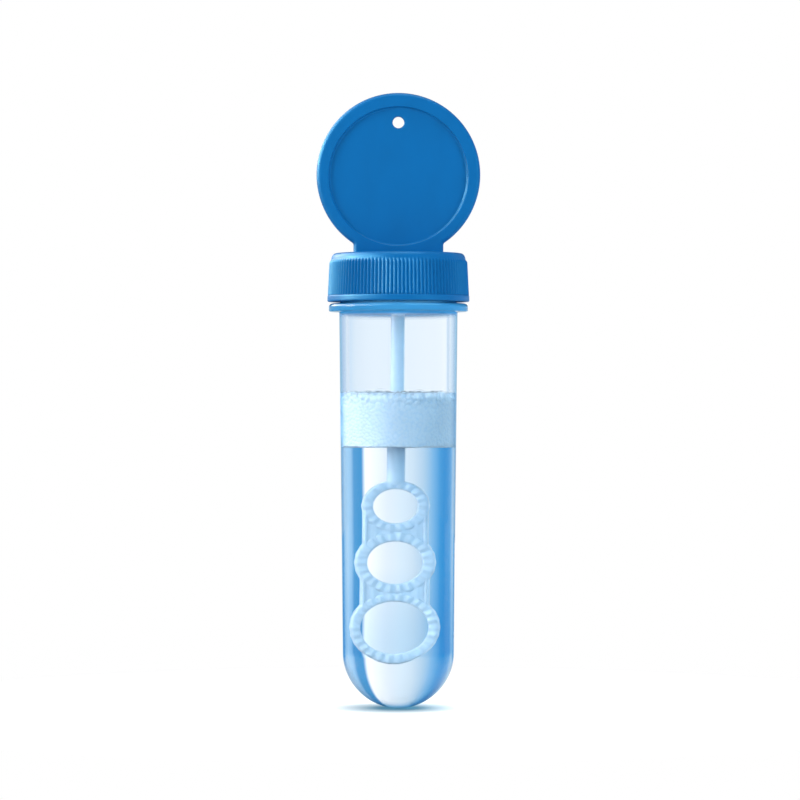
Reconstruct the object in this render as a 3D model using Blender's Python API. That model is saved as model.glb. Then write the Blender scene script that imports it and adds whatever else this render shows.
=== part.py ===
"""Bubble blower: a round-bottomed tube of bubble solution, closed by a ribbed screw cap.

The cap carries a round flat paddle to hold it by, with a hole for a lanyard, and below it a wand
with three rings hangs in the solution. The tube has a screw neck with just over one turn of
thread, and a flange below it. The origin is on the tube's axis, in the plane of the flange's flat
underside, where a rack carries the tube. +Z points up to the paddle, whose faces look along -Y
and +Y.
"""

import math

import bmesh
import bpy

MM = 0.001

# Gaps between pieces
SEAT_GAP = 0.3 * MM
RUNNING_GAP = 0.3 * MM

# Neck: a 28 mm screw finish with just over one turn of thread
NECK_RADIUS = 12.3 * MM
NECK_WALL = 1.3 * MM
NECK_HEIGHT = 7.9 * MM
LIP_ROUND = 0.35 * MM
THREAD_LEAD = 4.233 * MM
THREAD_TURNS = 1.1
THREAD_DEPTH = 1.1 * MM
THREAD_ROOT_WIDTH = 1.9 * MM
THREAD_CREST_WIDTH = 1.0 * MM
THREAD_FADE_TURNS = 0.06
THREAD_START_GAP = 0.5 * MM
THREAD_EMBED = 0.35 * MM
THREAD_RADIAL_GAP = 0.25 * MM
THREAD_FLANK_GAP = 0.2 * MM

# Flange and tube
FLANGE_OVERHANG = 2.2 * MM
FLANGE_THICKNESS = 1.7 * MM
FLANGE_TOP_ROUND = 0.75 * MM
FLANGE_UNDER_ROUND = 0.3 * MM
TUBE_STEP = 0.2 * MM
TUBE_DROP = 83.8 * MM
TUBE_TAPER = 0.75 * MM
TUBE_END_WALL = 1.15 * MM

# Contents
FILL_DEPTH = 54.4 * MM
FOAM_DEPTH = 12.1 * MM
MENISCUS_RISE = 0.6 * MM
MENISCUS_WIDTH = 1.5 * MM
FOAM_CROWN = 0.5 * MM
WAND_SLOT_GAP = 0.5 * MM
WAND_SLOT_THICKNESS = 5.4 * MM

# Sealing liner under the cap's top
LINER_THICKNESS = 0.9 * MM
LINER_RADIAL_GAP = 0.35 * MM

# Cap
CAP_FLANGE_GAP = 0.4 * MM
CAP_TOP_WALL = 1.2 * MM
CAP_WALL = 1.0 * MM
CAP_DRAFT = 0.25 * MM
CAP_BAND_HEIGHT = 1.4 * MM
CAP_BAND_ROUND = 0.2 * MM
CAP_SHOULDER_HEIGHT = 1.1 * MM
CAP_SHOULDER_ROUND = 0.95 * MM
CAP_MOUTH_CHAMFER = 0.3 * MM
RIB_COUNT = 112
RIB_HEIGHT = 0.35 * MM
RIB_END_CHAMFER = 0.35 * MM
RIB_SLEEVE_SINK = 0.15 * MM

# Socket boss inside the cap, and the wand's head that snaps into it
BOSS_LENGTH = 4.2 * MM
SOCKET_WALL = 0.9 * MM
BEAD_HEIGHT = 0.3 * MM
BEAD_LENGTH = 0.8 * MM
BEAD_BELOW_TOP = 1.4 * MM
PEG_CHAMFER = 0.3 * MM
COLLAR_RADIUS = 2.5 * MM
COLLAR_THICKNESS = 1.0 * MM

# Paddle on the cap
PADDLE_RADIUS = 17.3 * MM
PADDLE_THICKNESS = 3.6 * MM
PADDLE_SINK = 0.7 * MM
PADDLE_EDGE_ROUND = 0.9 * MM
PADDLE_RIM_WIDTH = 2.5 * MM
RECESS_DEPTH = 0.9 * MM
RECESS_COVE = 0.4 * MM
TAB_WIDTH = 19.4 * MM
TAB_EMBED = 0.6 * MM
HOLE_RADIUS = 1.22 * MM
HOLE_FROM_RIM = 3.7 * MM
HOLE_CHAMFER = 0.3 * MM

# Wand: a round stem and three serrated rings joined by ridged webs
STEM_RADIUS = 1.45 * MM
WAND_TIP_GAP = 8.7 * MM
RING_THICKNESS = 2.2 * MM
RING_CHAMFER = 0.45 * MM
SERRATION_DEPTH = 0.22 * MM
WEB_THICKNESS = 1.2 * MM
WEB_EDGE_WIDTH = 0.9 * MM
WEB_EDGE_THICKNESS = 1.9 * MM
WEB_RIDGES = 4
WEB_RIDGE_WIDTH = 0.8 * MM
WEB_RIDGE_HEIGHT = 0.25 * MM
TOP_RING_BORE = 3.6 * MM
TOP_RING_WIDTH = 1.85 * MM
TOP_RING_SERRATIONS = 18
TOP_WEB_WIDTH = 10.6 * MM
MIDDLE_RING_BORE = 4.45 * MM
MIDDLE_RING_WIDTH = 2.1 * MM
MIDDLE_RING_SERRATIONS = 22
MIDDLE_WEB_WIDTH = 11.2 * MM
BOTTOM_RING_BORE = 5.5 * MM
BOTTOM_RING_WIDTH = 1.85 * MM
BOTTOM_RING_SERRATIONS = 26
TOP_TO_MIDDLE = 11.9 * MM
MIDDLE_TO_BOTTOM = 13.7 * MM

# Facets
ROUND_STEPS = 48
STEM_STEPS = 18
PADDLE_STEPS = 60
FINE_ARC_STEPS = 2
END_ARC_STEPS = 7
FLAT_FACE_DEG = 0.05

# Shares that shape the curves of the contents' tops
BEND_ACROSS = 1.0 / 3.0
BEND_DOWN = 0.7
CROWN_OUTER = 0.9
CROWN_INNER = 0.6
CROWN_DROP = 1.0 / 3.0

# Sizes that follow: heights are above the flange's underside
FLANGE_TOP = FLANGE_THICKNESS
LIP_HEIGHT = FLANGE_TOP + NECK_HEIGHT
BORE_RADIUS = NECK_RADIUS - NECK_WALL
TUBE_RADIUS = NECK_RADIUS + TUBE_STEP
TUBE_END_RADIUS = TUBE_RADIUS - TUBE_TAPER
TUBE_END_CENTRE = -TUBE_DROP + TUBE_END_RADIUS
TUBE_END_BORE = TUBE_END_RADIUS - TUBE_END_WALL
INNER_BOTTOM = TUBE_END_CENTRE - TUBE_END_BORE

LINER_BOTTOM = LIP_HEIGHT + SEAT_GAP
LINER_TOP = LINER_BOTTOM + LINER_THICKNESS

CAP_BOTTOM = FLANGE_TOP + CAP_FLANGE_GAP
CAP_CEILING = LINER_TOP + SEAT_GAP
CAP_TOP = CAP_CEILING + CAP_TOP_WALL
CAP_BORE = NECK_RADIUS + THREAD_DEPTH + THREAD_RADIAL_GAP
CAP_VALLEY = CAP_BORE + CAP_WALL
CAP_RADIUS = CAP_VALLEY + RIB_HEIGHT
CAP_THREAD_CREST = NECK_RADIUS + THREAD_RADIAL_GAP

SOCKET_RADIUS = STEM_RADIUS + RUNNING_GAP
BOSS_RADIUS = SOCKET_RADIUS + BEAD_HEIGHT + SOCKET_WALL
BOSS_BOTTOM = CAP_CEILING - BOSS_LENGTH
BEAD_FLAT_HALF = BEAD_LENGTH / 4.0
PEG_TOP = CAP_CEILING - SEAT_GAP
COLLAR_TOP = BOSS_BOTTOM - SEAT_GAP

PADDLE_CENTRE = CAP_TOP - PADDLE_SINK + PADDLE_RADIUS
RECESS_RADIUS = PADDLE_RADIUS - PADDLE_RIM_WIDTH
HOLE_HEIGHT = PADDLE_CENTRE + RECESS_RADIUS - HOLE_FROM_RIM

TOP_RING_OUTER = TOP_RING_BORE + TOP_RING_WIDTH
MIDDLE_RING_OUTER = MIDDLE_RING_BORE + MIDDLE_RING_WIDTH
BOTTOM_RING_OUTER = BOTTOM_RING_BORE + BOTTOM_RING_WIDTH
BOTTOM_RING_CENTRE = INNER_BOTTOM + WAND_TIP_GAP + BOTTOM_RING_OUTER
MIDDLE_RING_CENTRE = BOTTOM_RING_CENTRE + MIDDLE_TO_BOTTOM
TOP_RING_CENTRE = MIDDLE_RING_CENTRE + TOP_TO_MIDDLE

SOLUTION_TOP = INNER_BOTTOM + FILL_DEPTH
FOAM_BOTTOM = SOLUTION_TOP + SEAT_GAP
FOAM_TOP = FOAM_BOTTOM + FOAM_DEPTH


def clear_scene():
    """Removes every object that the file held."""
    for obj in list(bpy.data.objects):
        bpy.data.objects.remove(obj)


def plastic(name, colour, roughness, transmission=0.0, ior=1.49):
    """A Principled material in one moulded plastic or liquid colour."""
    material = bpy.data.materials.new(name)
    material.use_nodes = True
    shader = material.node_tree.nodes["Principled BSDF"]
    shader.inputs["Base Color"].default_value = (*colour, 1.0)
    shader.inputs["Roughness"].default_value = roughness
    shader.inputs["Metallic"].default_value = 0.0
    shader.inputs["Transmission Weight"].default_value = transmission
    shader.inputs["IOR"].default_value = ior
    return material


def make_object(name, bm, material=None, smooth_angle=35.0):
    """Links a named object that holds the bmesh, with flat faces out and round ones smooth."""
    bmesh.ops.remove_doubles(bm, verts=bm.verts, dist=0.001 * MM)
    bmesh.ops.connect_verts_nonplanar(bm, angle_limit=math.radians(FLAT_FACE_DEG), faces=bm.faces)
    bmesh.ops.recalc_face_normals(bm, faces=bm.faces)
    mesh = bpy.data.meshes.new(name)
    bm.to_mesh(mesh)
    bm.free()
    if material:
        mesh.materials.append(material)
    mesh.shade_smooth()
    mesh.set_sharp_from_angle(angle=math.radians(smooth_angle))
    obj = bpy.data.objects.new(name, mesh)
    bpy.context.scene.collection.objects.link(obj)
    return obj


def as_tool(obj):
    """Marks an object that only cuts or joins another one."""
    obj.hide_render = True
    obj.display_type = "WIRE"
    return obj


def combine(obj, tool, operation):
    """Joins the tool to the object, or cuts it away, with an exact Boolean."""
    modifier = obj.modifiers.new(f"{operation.lower()} {tool.name}", "BOOLEAN")
    modifier.operation = operation
    modifier.object = as_tool(tool)
    modifier.solver = "EXACT"


def arc(centre_r, centre_z, radius, start_deg, end_deg, steps):
    """Points of a profile along an arc, both ends included."""
    points = []
    for step in range(steps + 1):
        angle = math.radians(start_deg + (end_deg - start_deg) * step / steps)
        points.append((centre_r + radius * math.cos(angle), centre_z + radius * math.sin(angle)))
    return points


def turned(profile, steps, closed=False):
    """Spins a profile of (radius, height) points round the Z axis."""
    bm = bmesh.new()
    verts = [bm.verts.new((r, 0.0, z)) for r, z in profile]
    edges = [bm.edges.new(pair) for pair in zip(verts, verts[1:])]
    if closed:
        edges.append(bm.edges.new((verts[-1], verts[0])))
    bmesh.ops.spin(
        bm,
        geom=verts + edges,
        cent=(0.0, 0.0, 0.0),
        axis=(0.0, 0.0, 1.0),
        angle=2.0 * math.pi,
        steps=steps,
        use_merge=True,
    )
    return bm


def extruded(outline, thickness):
    """A plate of that thickness across Y, from an outline of (x, z) points."""
    bm = bmesh.new()
    face = bm.faces.new([bm.verts.new((x, -thickness / 2.0, z)) for x, z in outline])
    grown = bmesh.ops.extrude_face_region(bm, geom=[face])["geom"]
    moved = [item for item in grown if isinstance(item, bmesh.types.BMVert)]
    bmesh.ops.translate(bm, verts=moved, vec=(0.0, thickness, 0.0))
    return bm


def bridged_rings(rings, closed_ends=True):
    """Skins a row of equal loops of points.

    With closed_ends the first and the last loop each get a face. Without, the last joins the first.
    """
    bm = bmesh.new()
    loops = [[bm.verts.new(point) for point in ring] for ring in rings]
    count = len(rings[0])
    for low, high in zip(loops, loops[1:]):
        for i in range(count):
            j = (i + 1) % count
            bm.faces.new((low[i], low[j], high[j], high[i]))
    if closed_ends:
        bm.faces.new(loops[0][::-1])
        bm.faces.new(loops[-1])
    else:
        for i in range(count):
            j = (i + 1) % count
            bm.faces.new((loops[-1][i], loops[-1][j], loops[0][j], loops[0][i]))
    return bm


def thread_height(turn):
    """Height of the neck thread's centre line, turn by turn from its lower end."""
    start = FLANGE_TOP + THREAD_START_GAP + THREAD_ROOT_WIDTH / 2.0
    return start + THREAD_LEAD * turn


def thread_ridge(root_radius, crest_radius, first_turn, height_of):
    """One right-handed helical ridge, faded into the wall at both ends."""
    outward = 1.0 if crest_radius > root_radius else -1.0
    depth = abs(crest_radius - root_radius)
    slope = (THREAD_ROOT_WIDTH - THREAD_CREST_WIDTH) / 2.0 / depth
    buried_half = THREAD_ROOT_WIDTH / 2.0 + slope * THREAD_EMBED
    buried_radius = root_radius - outward * THREAD_EMBED
    steps = round(ROUND_STEPS * THREAD_TURNS)
    rings = []
    for step in range(steps + 1):
        share = step / steps
        turn = first_turn + THREAD_TURNS * share
        end_share = min(share, 1.0 - share) * THREAD_TURNS / THREAD_FADE_TURNS
        rise = depth * min(1.0, end_share) - THREAD_EMBED / 2.0 * max(0.0, 1.0 - end_share)
        crest = root_radius + outward * rise
        crest_half = THREAD_CREST_WIDTH / 2.0 + slope * (depth - rise)
        section = (
            (buried_radius, -buried_half),
            (crest, -crest_half),
            (crest, crest_half),
            (buried_radius, buried_half),
        )
        angle = 2.0 * math.pi * turn
        centre = height_of(turn)
        rings.append(
            [(r * math.cos(angle), r * math.sin(angle), centre + dz) for r, dz in section]
        )
    return bridged_rings(rings)


def cap_thread_offset():
    """How far the cap's thread lies under the neck's, flank to flank with its gap."""
    slope = (THREAD_ROOT_WIDTH - THREAD_CREST_WIDTH) / 2.0 / THREAD_DEPTH
    neck_half = THREAD_ROOT_WIDTH / 2.0 - slope * THREAD_RADIAL_GAP
    return neck_half + THREAD_CREST_WIDTH / 2.0 + THREAD_FLANK_GAP


def bore_radius_at(height):
    """The tube's inner radius at a height on its straight, drafted bore."""
    share = (LIP_HEIGHT - height) / (LIP_HEIGHT - TUBE_END_CENTRE)
    return BORE_RADIUS + (TUBE_END_BORE - BORE_RADIUS) * share


def build_tube(material):
    """The test-tube shaped bottle: round end, tapered wall, flange, threaded neck."""
    flange_radius = TUBE_RADIUS + FLANGE_OVERHANG
    profile = arc(0.0, TUBE_END_CENTRE, TUBE_END_RADIUS, -90.0, 0.0, END_ARC_STEPS)
    profile.append((TUBE_RADIUS, 0.0))
    profile += arc(
        flange_radius - FLANGE_UNDER_ROUND,
        FLANGE_UNDER_ROUND,
        FLANGE_UNDER_ROUND,
        -90.0,
        0.0,
        FINE_ARC_STEPS - 1,
    )
    profile += arc(
        flange_radius - FLANGE_TOP_ROUND,
        FLANGE_TOP - FLANGE_TOP_ROUND,
        FLANGE_TOP_ROUND,
        0.0,
        90.0,
        FINE_ARC_STEPS,
    )
    profile.append((NECK_RADIUS, FLANGE_TOP))
    profile += arc(
        NECK_RADIUS - LIP_ROUND, LIP_HEIGHT - LIP_ROUND, LIP_ROUND, 0.0, 90.0, 1
    )
    profile += arc(
        BORE_RADIUS + LIP_ROUND, LIP_HEIGHT - LIP_ROUND, LIP_ROUND, 90.0, 180.0, 1
    )
    profile += arc(0.0, TUBE_END_CENTRE, TUBE_END_BORE, 0.0, -90.0, END_ARC_STEPS)
    tube = make_object("tube", turned(profile, ROUND_STEPS), material)
    ridge = thread_ridge(NECK_RADIUS, NECK_RADIUS + THREAD_DEPTH, 0.0, thread_height)
    combine(tube, make_object("neck_thread", ridge), "UNION")
    return tube


def build_solution(material):
    """The bubble solution, which fills the round end up to a shallow meniscus at the wall."""
    wall_radius = bore_radius_at(SOLUTION_TOP) - SEAT_GAP
    end_radius = TUBE_END_BORE - SEAT_GAP
    profile = arc(0.0, TUBE_END_CENTRE, end_radius, -90.0, 0.0, END_ARC_STEPS)
    profile.append((wall_radius, SOLUTION_TOP))
    profile.append(
        (wall_radius - MENISCUS_WIDTH * BEND_ACROSS, SOLUTION_TOP - MENISCUS_RISE * BEND_DOWN)
    )
    profile.append((wall_radius - MENISCUS_WIDTH, SOLUTION_TOP - MENISCUS_RISE))
    profile.append((0.0, SOLUTION_TOP - MENISCUS_RISE))
    solution = make_object("bubble_solution", turned(profile, ROUND_STEPS), material)
    combine(solution, wand_slot("solution_slot"), "DIFFERENCE")
    return solution


def build_foam(material):
    """The head of foam on the solution, slightly crowned."""
    radius_low = bore_radius_at(FOAM_BOTTOM) - SEAT_GAP
    radius_high = bore_radius_at(FOAM_TOP) - SEAT_GAP
    profile = [
        (0.0, FOAM_BOTTOM),
        (radius_low, FOAM_BOTTOM),
        (radius_high, FOAM_TOP - FOAM_CROWN),
        (radius_high * CROWN_OUTER, FOAM_TOP - FOAM_CROWN * CROWN_DROP),
        (radius_high * CROWN_INNER, FOAM_TOP),
        (0.0, FOAM_TOP),
    ]
    foam = make_object("foam_head", turned(profile, ROUND_STEPS), material)
    combine(foam, wand_slot("foam_slot"), "DIFFERENCE")
    return foam


def wand_slot(name):
    """Cutter for the flat slot that the wand leaves in the contents, round at its lower end."""
    half_width = BOTTOM_RING_OUTER + WAND_SLOT_GAP
    outline = arc(0.0, BOTTOM_RING_CENTRE, half_width, 180.0, 360.0, 2 * END_ARC_STEPS)
    top = FOAM_TOP + WAND_SLOT_THICKNESS
    outline += [(half_width, top), (-half_width, top)]
    return make_object(name, extruded(outline, WAND_SLOT_THICKNESS))


def build_liner(material):
    """The soft washer that seals the lip, round the cap's socket boss."""
    outer = CAP_THREAD_CREST - LINER_RADIAL_GAP
    inner = BOSS_RADIUS + RUNNING_GAP
    profile = [
        (inner, LINER_BOTTOM),
        (outer, LINER_BOTTOM),
        (outer, LINER_TOP),
        (inner, LINER_TOP),
    ]
    return make_object("sealing_liner", turned(profile, ROUND_STEPS, closed=True), material)


def cap_valley_at(height):
    """The cap's outer radius between its ribs, which draws in a little towards the top."""
    share = (height - CAP_BOTTOM) / (CAP_TOP - CAP_BOTTOM)
    return CAP_VALLEY - CAP_DRAFT * share


def cap_shell():
    """The cap's turned body: band, rib valley, shoulder, and inside the bore and socket boss."""
    band_top = CAP_BOTTOM + CAP_BAND_HEIGHT
    rib_top = CAP_TOP - CAP_SHOULDER_HEIGHT
    shoulder_radius = cap_valley_at(rib_top)
    bead_centre = CAP_CEILING - BEAD_BELOW_TOP
    groove_radius = SOCKET_RADIUS + BEAD_HEIGHT
    groove_half = BEAD_LENGTH / 2.0 + RUNNING_GAP
    # The profile starts and ends on the axis, at the socket's end and at the top face.
    profile = [
        (0.0, CAP_CEILING),
        (SOCKET_RADIUS, CAP_CEILING),
        (SOCKET_RADIUS, bead_centre + groove_half),
        (groove_radius, bead_centre + BEAD_FLAT_HALF),
        (groove_radius, bead_centre - BEAD_FLAT_HALF),
        (SOCKET_RADIUS, bead_centre - groove_half),
        (SOCKET_RADIUS, BOSS_BOTTOM),
        (BOSS_RADIUS, BOSS_BOTTOM),
        (BOSS_RADIUS, CAP_CEILING),
        (CAP_BORE, CAP_CEILING),
        (CAP_BORE, CAP_BOTTOM + CAP_MOUTH_CHAMFER),
        (CAP_BORE + CAP_MOUTH_CHAMFER, CAP_BOTTOM),
        (CAP_RADIUS - CAP_BAND_ROUND, CAP_BOTTOM),
        (CAP_RADIUS, CAP_BOTTOM + CAP_BAND_ROUND),
        (CAP_RADIUS, band_top - CAP_BAND_ROUND),
        (cap_valley_at(band_top) - RIB_SLEEVE_SINK, band_top + CAP_BAND_ROUND),
        (cap_valley_at(rib_top) - RIB_SLEEVE_SINK, rib_top - RIB_END_CHAMFER),
    ]
    profile += arc(
        shoulder_radius - CAP_SHOULDER_ROUND,
        CAP_TOP - CAP_SHOULDER_ROUND,
        CAP_SHOULDER_ROUND,
        0.0,
        90.0,
        FINE_ARC_STEPS,
    )
    profile.append((0.0, CAP_TOP))
    return turned(profile, ROUND_STEPS)


def grip_ribs():
    """A sleeve of fine upright ribs with V grooves, whose ends sink into the band and shoulder."""
    low = CAP_BOTTOM + CAP_BAND_HEIGHT - 2.0 * CAP_BAND_ROUND
    rib_top = CAP_TOP - CAP_SHOULDER_HEIGHT
    mid_wall_radius = CAP_BORE + CAP_WALL / 2.0
    chamfer_foot = rib_top - RIB_END_CHAMFER
    levels = (
        (low, cap_valley_at(low), CAP_RADIUS - RIB_SLEEVE_SINK),
        (chamfer_foot, cap_valley_at(chamfer_foot), cap_valley_at(chamfer_foot) + RIB_HEIGHT),
        (rib_top, cap_valley_at(rib_top) - RIB_SLEEVE_SINK, cap_valley_at(rib_top) - RIB_SLEEVE_SINK),
        (rib_top, mid_wall_radius, mid_wall_radius),
        (low, mid_wall_radius, mid_wall_radius),
    )
    rings = []
    for height, valley, tip in levels:
        ring = []
        for edge in range(2 * RIB_COUNT):
            angle = math.pi * edge / RIB_COUNT
            radius = valley if edge % 2 else tip
            ring.append((radius * math.cos(angle), radius * math.sin(angle), height))
        rings.append(ring)
    return bridged_rings(rings, closed_ends=False)


def paddle_plate():
    """The round paddle and the tab it stands on, as one plate with rounded edges."""
    half_tab = TAB_WIDTH / 2.0
    meet_deg = math.degrees(math.acos(half_tab / PADDLE_RADIUS))
    foot = CAP_TOP - TAB_EMBED
    outline = [(half_tab, foot)]
    outline += arc(0.0, PADDLE_CENTRE, PADDLE_RADIUS, -meet_deg, 180.0 + meet_deg, PADDLE_STEPS)
    outline.append((-half_tab, foot))
    bm = extruded(outline, PADDLE_THICKNESS)
    rims = [
        edge
        for edge in bm.edges
        if edge.verts[0].co.y == edge.verts[1].co.y
        and max(edge.verts[0].co.z, edge.verts[1].co.z) > foot + TAB_EMBED / 2.0
    ]
    bmesh.ops.bevel(
        bm, geom=rims, offset=PADDLE_EDGE_ROUND, segments=FINE_ARC_STEPS, profile=0.5, affect="EDGES"
    )
    return bm


def recess_cutter(name, facing):
    """Cutter for the shallow round recess in one face of the paddle."""
    face = PADDLE_THICKNESS / 2.0
    floor = face - RECESS_DEPTH
    wall = RECESS_RADIUS
    profile = [(0.0, floor)]
    profile += arc(wall - RECESS_COVE, floor + RECESS_COVE, RECESS_COVE, -90.0, 0.0, FINE_ARC_STEPS)
    profile += [(wall, face + RECESS_DEPTH), (0.0, face + RECESS_DEPTH)]
    cutter = make_object(name, turned(profile, PADDLE_STEPS))
    cutter.location = (0.0, 0.0, PADDLE_CENTRE)
    cutter.rotation_euler = (math.radians(90.0 * facing), 0.0, 0.0)
    return cutter


def hole_cutter():
    """Cutter for the lanyard hole, chamfered where it leaves each face of the web."""
    web = PADDLE_THICKNESS / 2.0 - RECESS_DEPTH
    flare = web + HOLE_CHAMFER
    profile = [
        (0.0, -flare),
        (HOLE_RADIUS + 2.0 * HOLE_CHAMFER, -flare),
        (HOLE_RADIUS, -web + HOLE_CHAMFER),
        (HOLE_RADIUS, web - HOLE_CHAMFER),
        (HOLE_RADIUS + 2.0 * HOLE_CHAMFER, flare),
        (0.0, flare),
    ]
    cutter = make_object("lanyard_hole", turned(profile, STEM_STEPS))
    cutter.location = (0.0, 0.0, HOLE_HEIGHT)
    cutter.rotation_euler = (math.radians(90.0), 0.0, 0.0)
    return cutter


def build_cap(material):
    """Cap, paddle and tab, moulded in one piece, with the thread inside."""
    cap = make_object("screw_cap", cap_shell(), material)
    combine(cap, make_object("grip_ribs", grip_ribs()), "UNION")
    paddle = make_object("paddle", paddle_plate())
    combine(paddle, recess_cutter("front_recess", 1.0), "DIFFERENCE")
    combine(paddle, recess_cutter("back_recess", -1.0), "DIFFERENCE")
    combine(paddle, hole_cutter(), "DIFFERENCE")
    combine(cap, paddle, "UNION")

    offset = cap_thread_offset()
    lowest = CAP_BOTTOM + CAP_MOUTH_CHAMFER + THREAD_ROOT_WIDTH / 2.0
    first_turn = (lowest + offset - thread_height(0.0)) / THREAD_LEAD

    def cap_thread_height(turn):
        return thread_height(turn) - offset

    ridge = thread_ridge(CAP_BORE, CAP_THREAD_CREST, first_turn, cap_thread_height)
    combine(cap, make_object("cap_thread", ridge), "UNION")
    return cap


def serrated_ring(name, centre, bore, width, serrations):
    """One ring of the wand, lying across Y, its two faces cut into fine radial serrations."""
    outer = bore + width
    rings = []
    for step in range(2 * serrations):
        angle = math.pi * step / serrations
        half = RING_THICKNESS / 2.0 - SERRATION_DEPTH * (step % 2)
        inner_half = half - RING_CHAMFER
        section = (
            (bore, -inner_half),
            (bore + RING_CHAMFER, -half),
            (outer - RING_CHAMFER, -half),
            (outer, -inner_half),
            (outer, inner_half),
            (outer - RING_CHAMFER, half),
            (bore + RING_CHAMFER, half),
            (bore, inner_half),
        )
        rings.append(
            [(r * math.cos(angle), y, centre + r * math.sin(angle)) for r, y in section]
        )
    return make_object(name, bridged_rings(rings, closed_ends=False))


def web_section(width):
    """One face of a web, as (x, y) points from its left to its right: edge beads, then ridges."""
    half = width / 2.0
    bead = WEB_EDGE_THICKNESS / 2.0
    floor = WEB_THICKNESS / 2.0
    inner_half = half - WEB_EDGE_WIDTH
    pitch = 2.0 * inner_half / WEB_RIDGES
    face = [(-half, bead - RING_CHAMFER), (-half + RING_CHAMFER, bead), (-inner_half, floor)]
    for ridge in range(WEB_RIDGES):
        centre = -inner_half + pitch * (ridge + 0.5)
        face.append((centre - WEB_RIDGE_WIDTH / 2.0, floor))
        face.append((centre, floor + WEB_RIDGE_HEIGHT))
        face.append((centre + WEB_RIDGE_WIDTH / 2.0, floor))
    face += [(inner_half, floor), (half - RING_CHAMFER, bead), (half, bead - RING_CHAMFER)]
    return face


def web_between(name, upper, lower, width):
    """The ridged web that joins two rings, cut back to the middle of each ring's own width."""
    back = web_section(width)
    section = back + [(x, -y) for x, y in reversed(back)]
    bm = bridged_rings([[(x, y, height) for x, y in section] for height in (lower[0], upper[0])])
    web = make_object(name, bm)
    for end, (centre, bore, ring_width) in (("upper", upper), ("lower", lower)):
        radius = bore + ring_width / 2.0
        profile = [
            (0.0, -WEB_EDGE_THICKNESS),
            (radius, -WEB_EDGE_THICKNESS),
            (radius, WEB_EDGE_THICKNESS),
            (0.0, WEB_EDGE_THICKNESS),
        ]
        cutter = make_object(f"{name}_{end}_cut", turned(profile, ROUND_STEPS))
        cutter.location = (0.0, 0.0, centre)
        cutter.rotation_euler = (math.radians(90.0), 0.0, 0.0)
        combine(web, cutter, "DIFFERENCE")
    return web


def wand_stem():
    """The round stem, with the bead and collar that hold its head in the cap's socket."""
    bead_centre = CAP_CEILING - BEAD_BELOW_TOP
    bead_radius = STEM_RADIUS + BEAD_HEIGHT
    foot = TOP_RING_CENTRE + TOP_RING_BORE + TOP_RING_WIDTH / 2.0
    profile = [
        (0.0, foot),
        (STEM_RADIUS - PEG_CHAMFER, foot),
        (STEM_RADIUS, foot + PEG_CHAMFER),
        (STEM_RADIUS, COLLAR_TOP - COLLAR_THICKNESS - PEG_CHAMFER),
        (COLLAR_RADIUS, COLLAR_TOP - COLLAR_THICKNESS + PEG_CHAMFER),
        (COLLAR_RADIUS, COLLAR_TOP),
        (STEM_RADIUS, COLLAR_TOP),
        (STEM_RADIUS, bead_centre - BEAD_LENGTH / 2.0),
        (bead_radius, bead_centre - BEAD_FLAT_HALF),
        (bead_radius, bead_centre + BEAD_FLAT_HALF),
        (STEM_RADIUS, bead_centre + BEAD_LENGTH / 2.0),
        (STEM_RADIUS, PEG_TOP - PEG_CHAMFER),
        (STEM_RADIUS - PEG_CHAMFER, PEG_TOP),
        (0.0, PEG_TOP),
    ]
    return turned(profile, STEM_STEPS)


def build_wand(material):
    """Stem, three rings and two ridged webs, moulded in one piece."""
    top = (TOP_RING_CENTRE, TOP_RING_BORE, TOP_RING_WIDTH)
    middle = (MIDDLE_RING_CENTRE, MIDDLE_RING_BORE, MIDDLE_RING_WIDTH)
    bottom = (BOTTOM_RING_CENTRE, BOTTOM_RING_BORE, BOTTOM_RING_WIDTH)
    wand = make_object("wand", wand_stem(), material)
    for name, ring, serrations in (
        ("top_ring", top, TOP_RING_SERRATIONS),
        ("middle_ring", middle, MIDDLE_RING_SERRATIONS),
        ("bottom_ring", bottom, BOTTOM_RING_SERRATIONS),
    ):
        combine(wand, serrated_ring(name, *ring, serrations), "UNION")
    combine(wand, web_between("top_web", top, middle, TOP_WEB_WIDTH), "UNION")
    combine(wand, web_between("middle_web", middle, bottom, MIDDLE_WEB_WIDTH), "UNION")
    return wand


def axis_empty(name, height, parent=None):
    """An empty on the tube's axis, which carries a body that slides or turns on it."""
    empty = bpy.data.objects.new(name, None)
    bpy.context.scene.collection.objects.link(empty)
    empty.parent = parent
    empty.location = (0.0, 0.0, height)
    return empty


def hang_on(obj, empty, height):
    """Parents an object to an empty at that height, and leaves it where it was modelled."""
    obj.parent = empty
    obj.location = (0.0, 0.0, -height)


def main():
    clear_scene()
    blue = (0.0, 0.147, 0.469)
    tube = build_tube(plastic("clear_blue_tube", (0.55, 0.78, 0.95), 0.08, 0.9, 1.49))
    build_solution(plastic("bubble_solution", (0.88, 0.95, 1.0), 0.02, 1.0, 1.33)).parent = tube
    build_foam(plastic("foam", (0.72, 0.86, 0.96), 0.5)).parent = tube

    lift_out = axis_empty("lift_out_slide", LIP_HEIGHT)
    cap_rise = axis_empty("cap_rise_slide", CAP_BOTTOM - LIP_HEIGHT, lift_out)
    cap_turn = axis_empty("cap_turn_axis", 0.0, cap_rise)
    hang_on(build_liner(plastic("white_liner", (0.85, 0.86, 0.87), 0.7)), lift_out, LIP_HEIGHT)
    hang_on(build_wand(plastic("frosted_wand", (0.78, 0.88, 0.95), 0.35, 0.4)), cap_rise, CAP_BOTTOM)
    hang_on(build_cap(plastic("blue_cap", blue, 0.35)), cap_turn, CAP_BOTTOM)


main()
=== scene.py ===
"""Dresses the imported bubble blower: clear tube, solution, foam, wand, liner and blue screw cap.

Run as a script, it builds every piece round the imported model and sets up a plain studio. The
sizes and colours are in the property groups, and each piece has its own operator.
"""

import math

import bmesh
import bpy
import numpy as np
from mathutils import Matrix, Vector, kdtree


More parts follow.
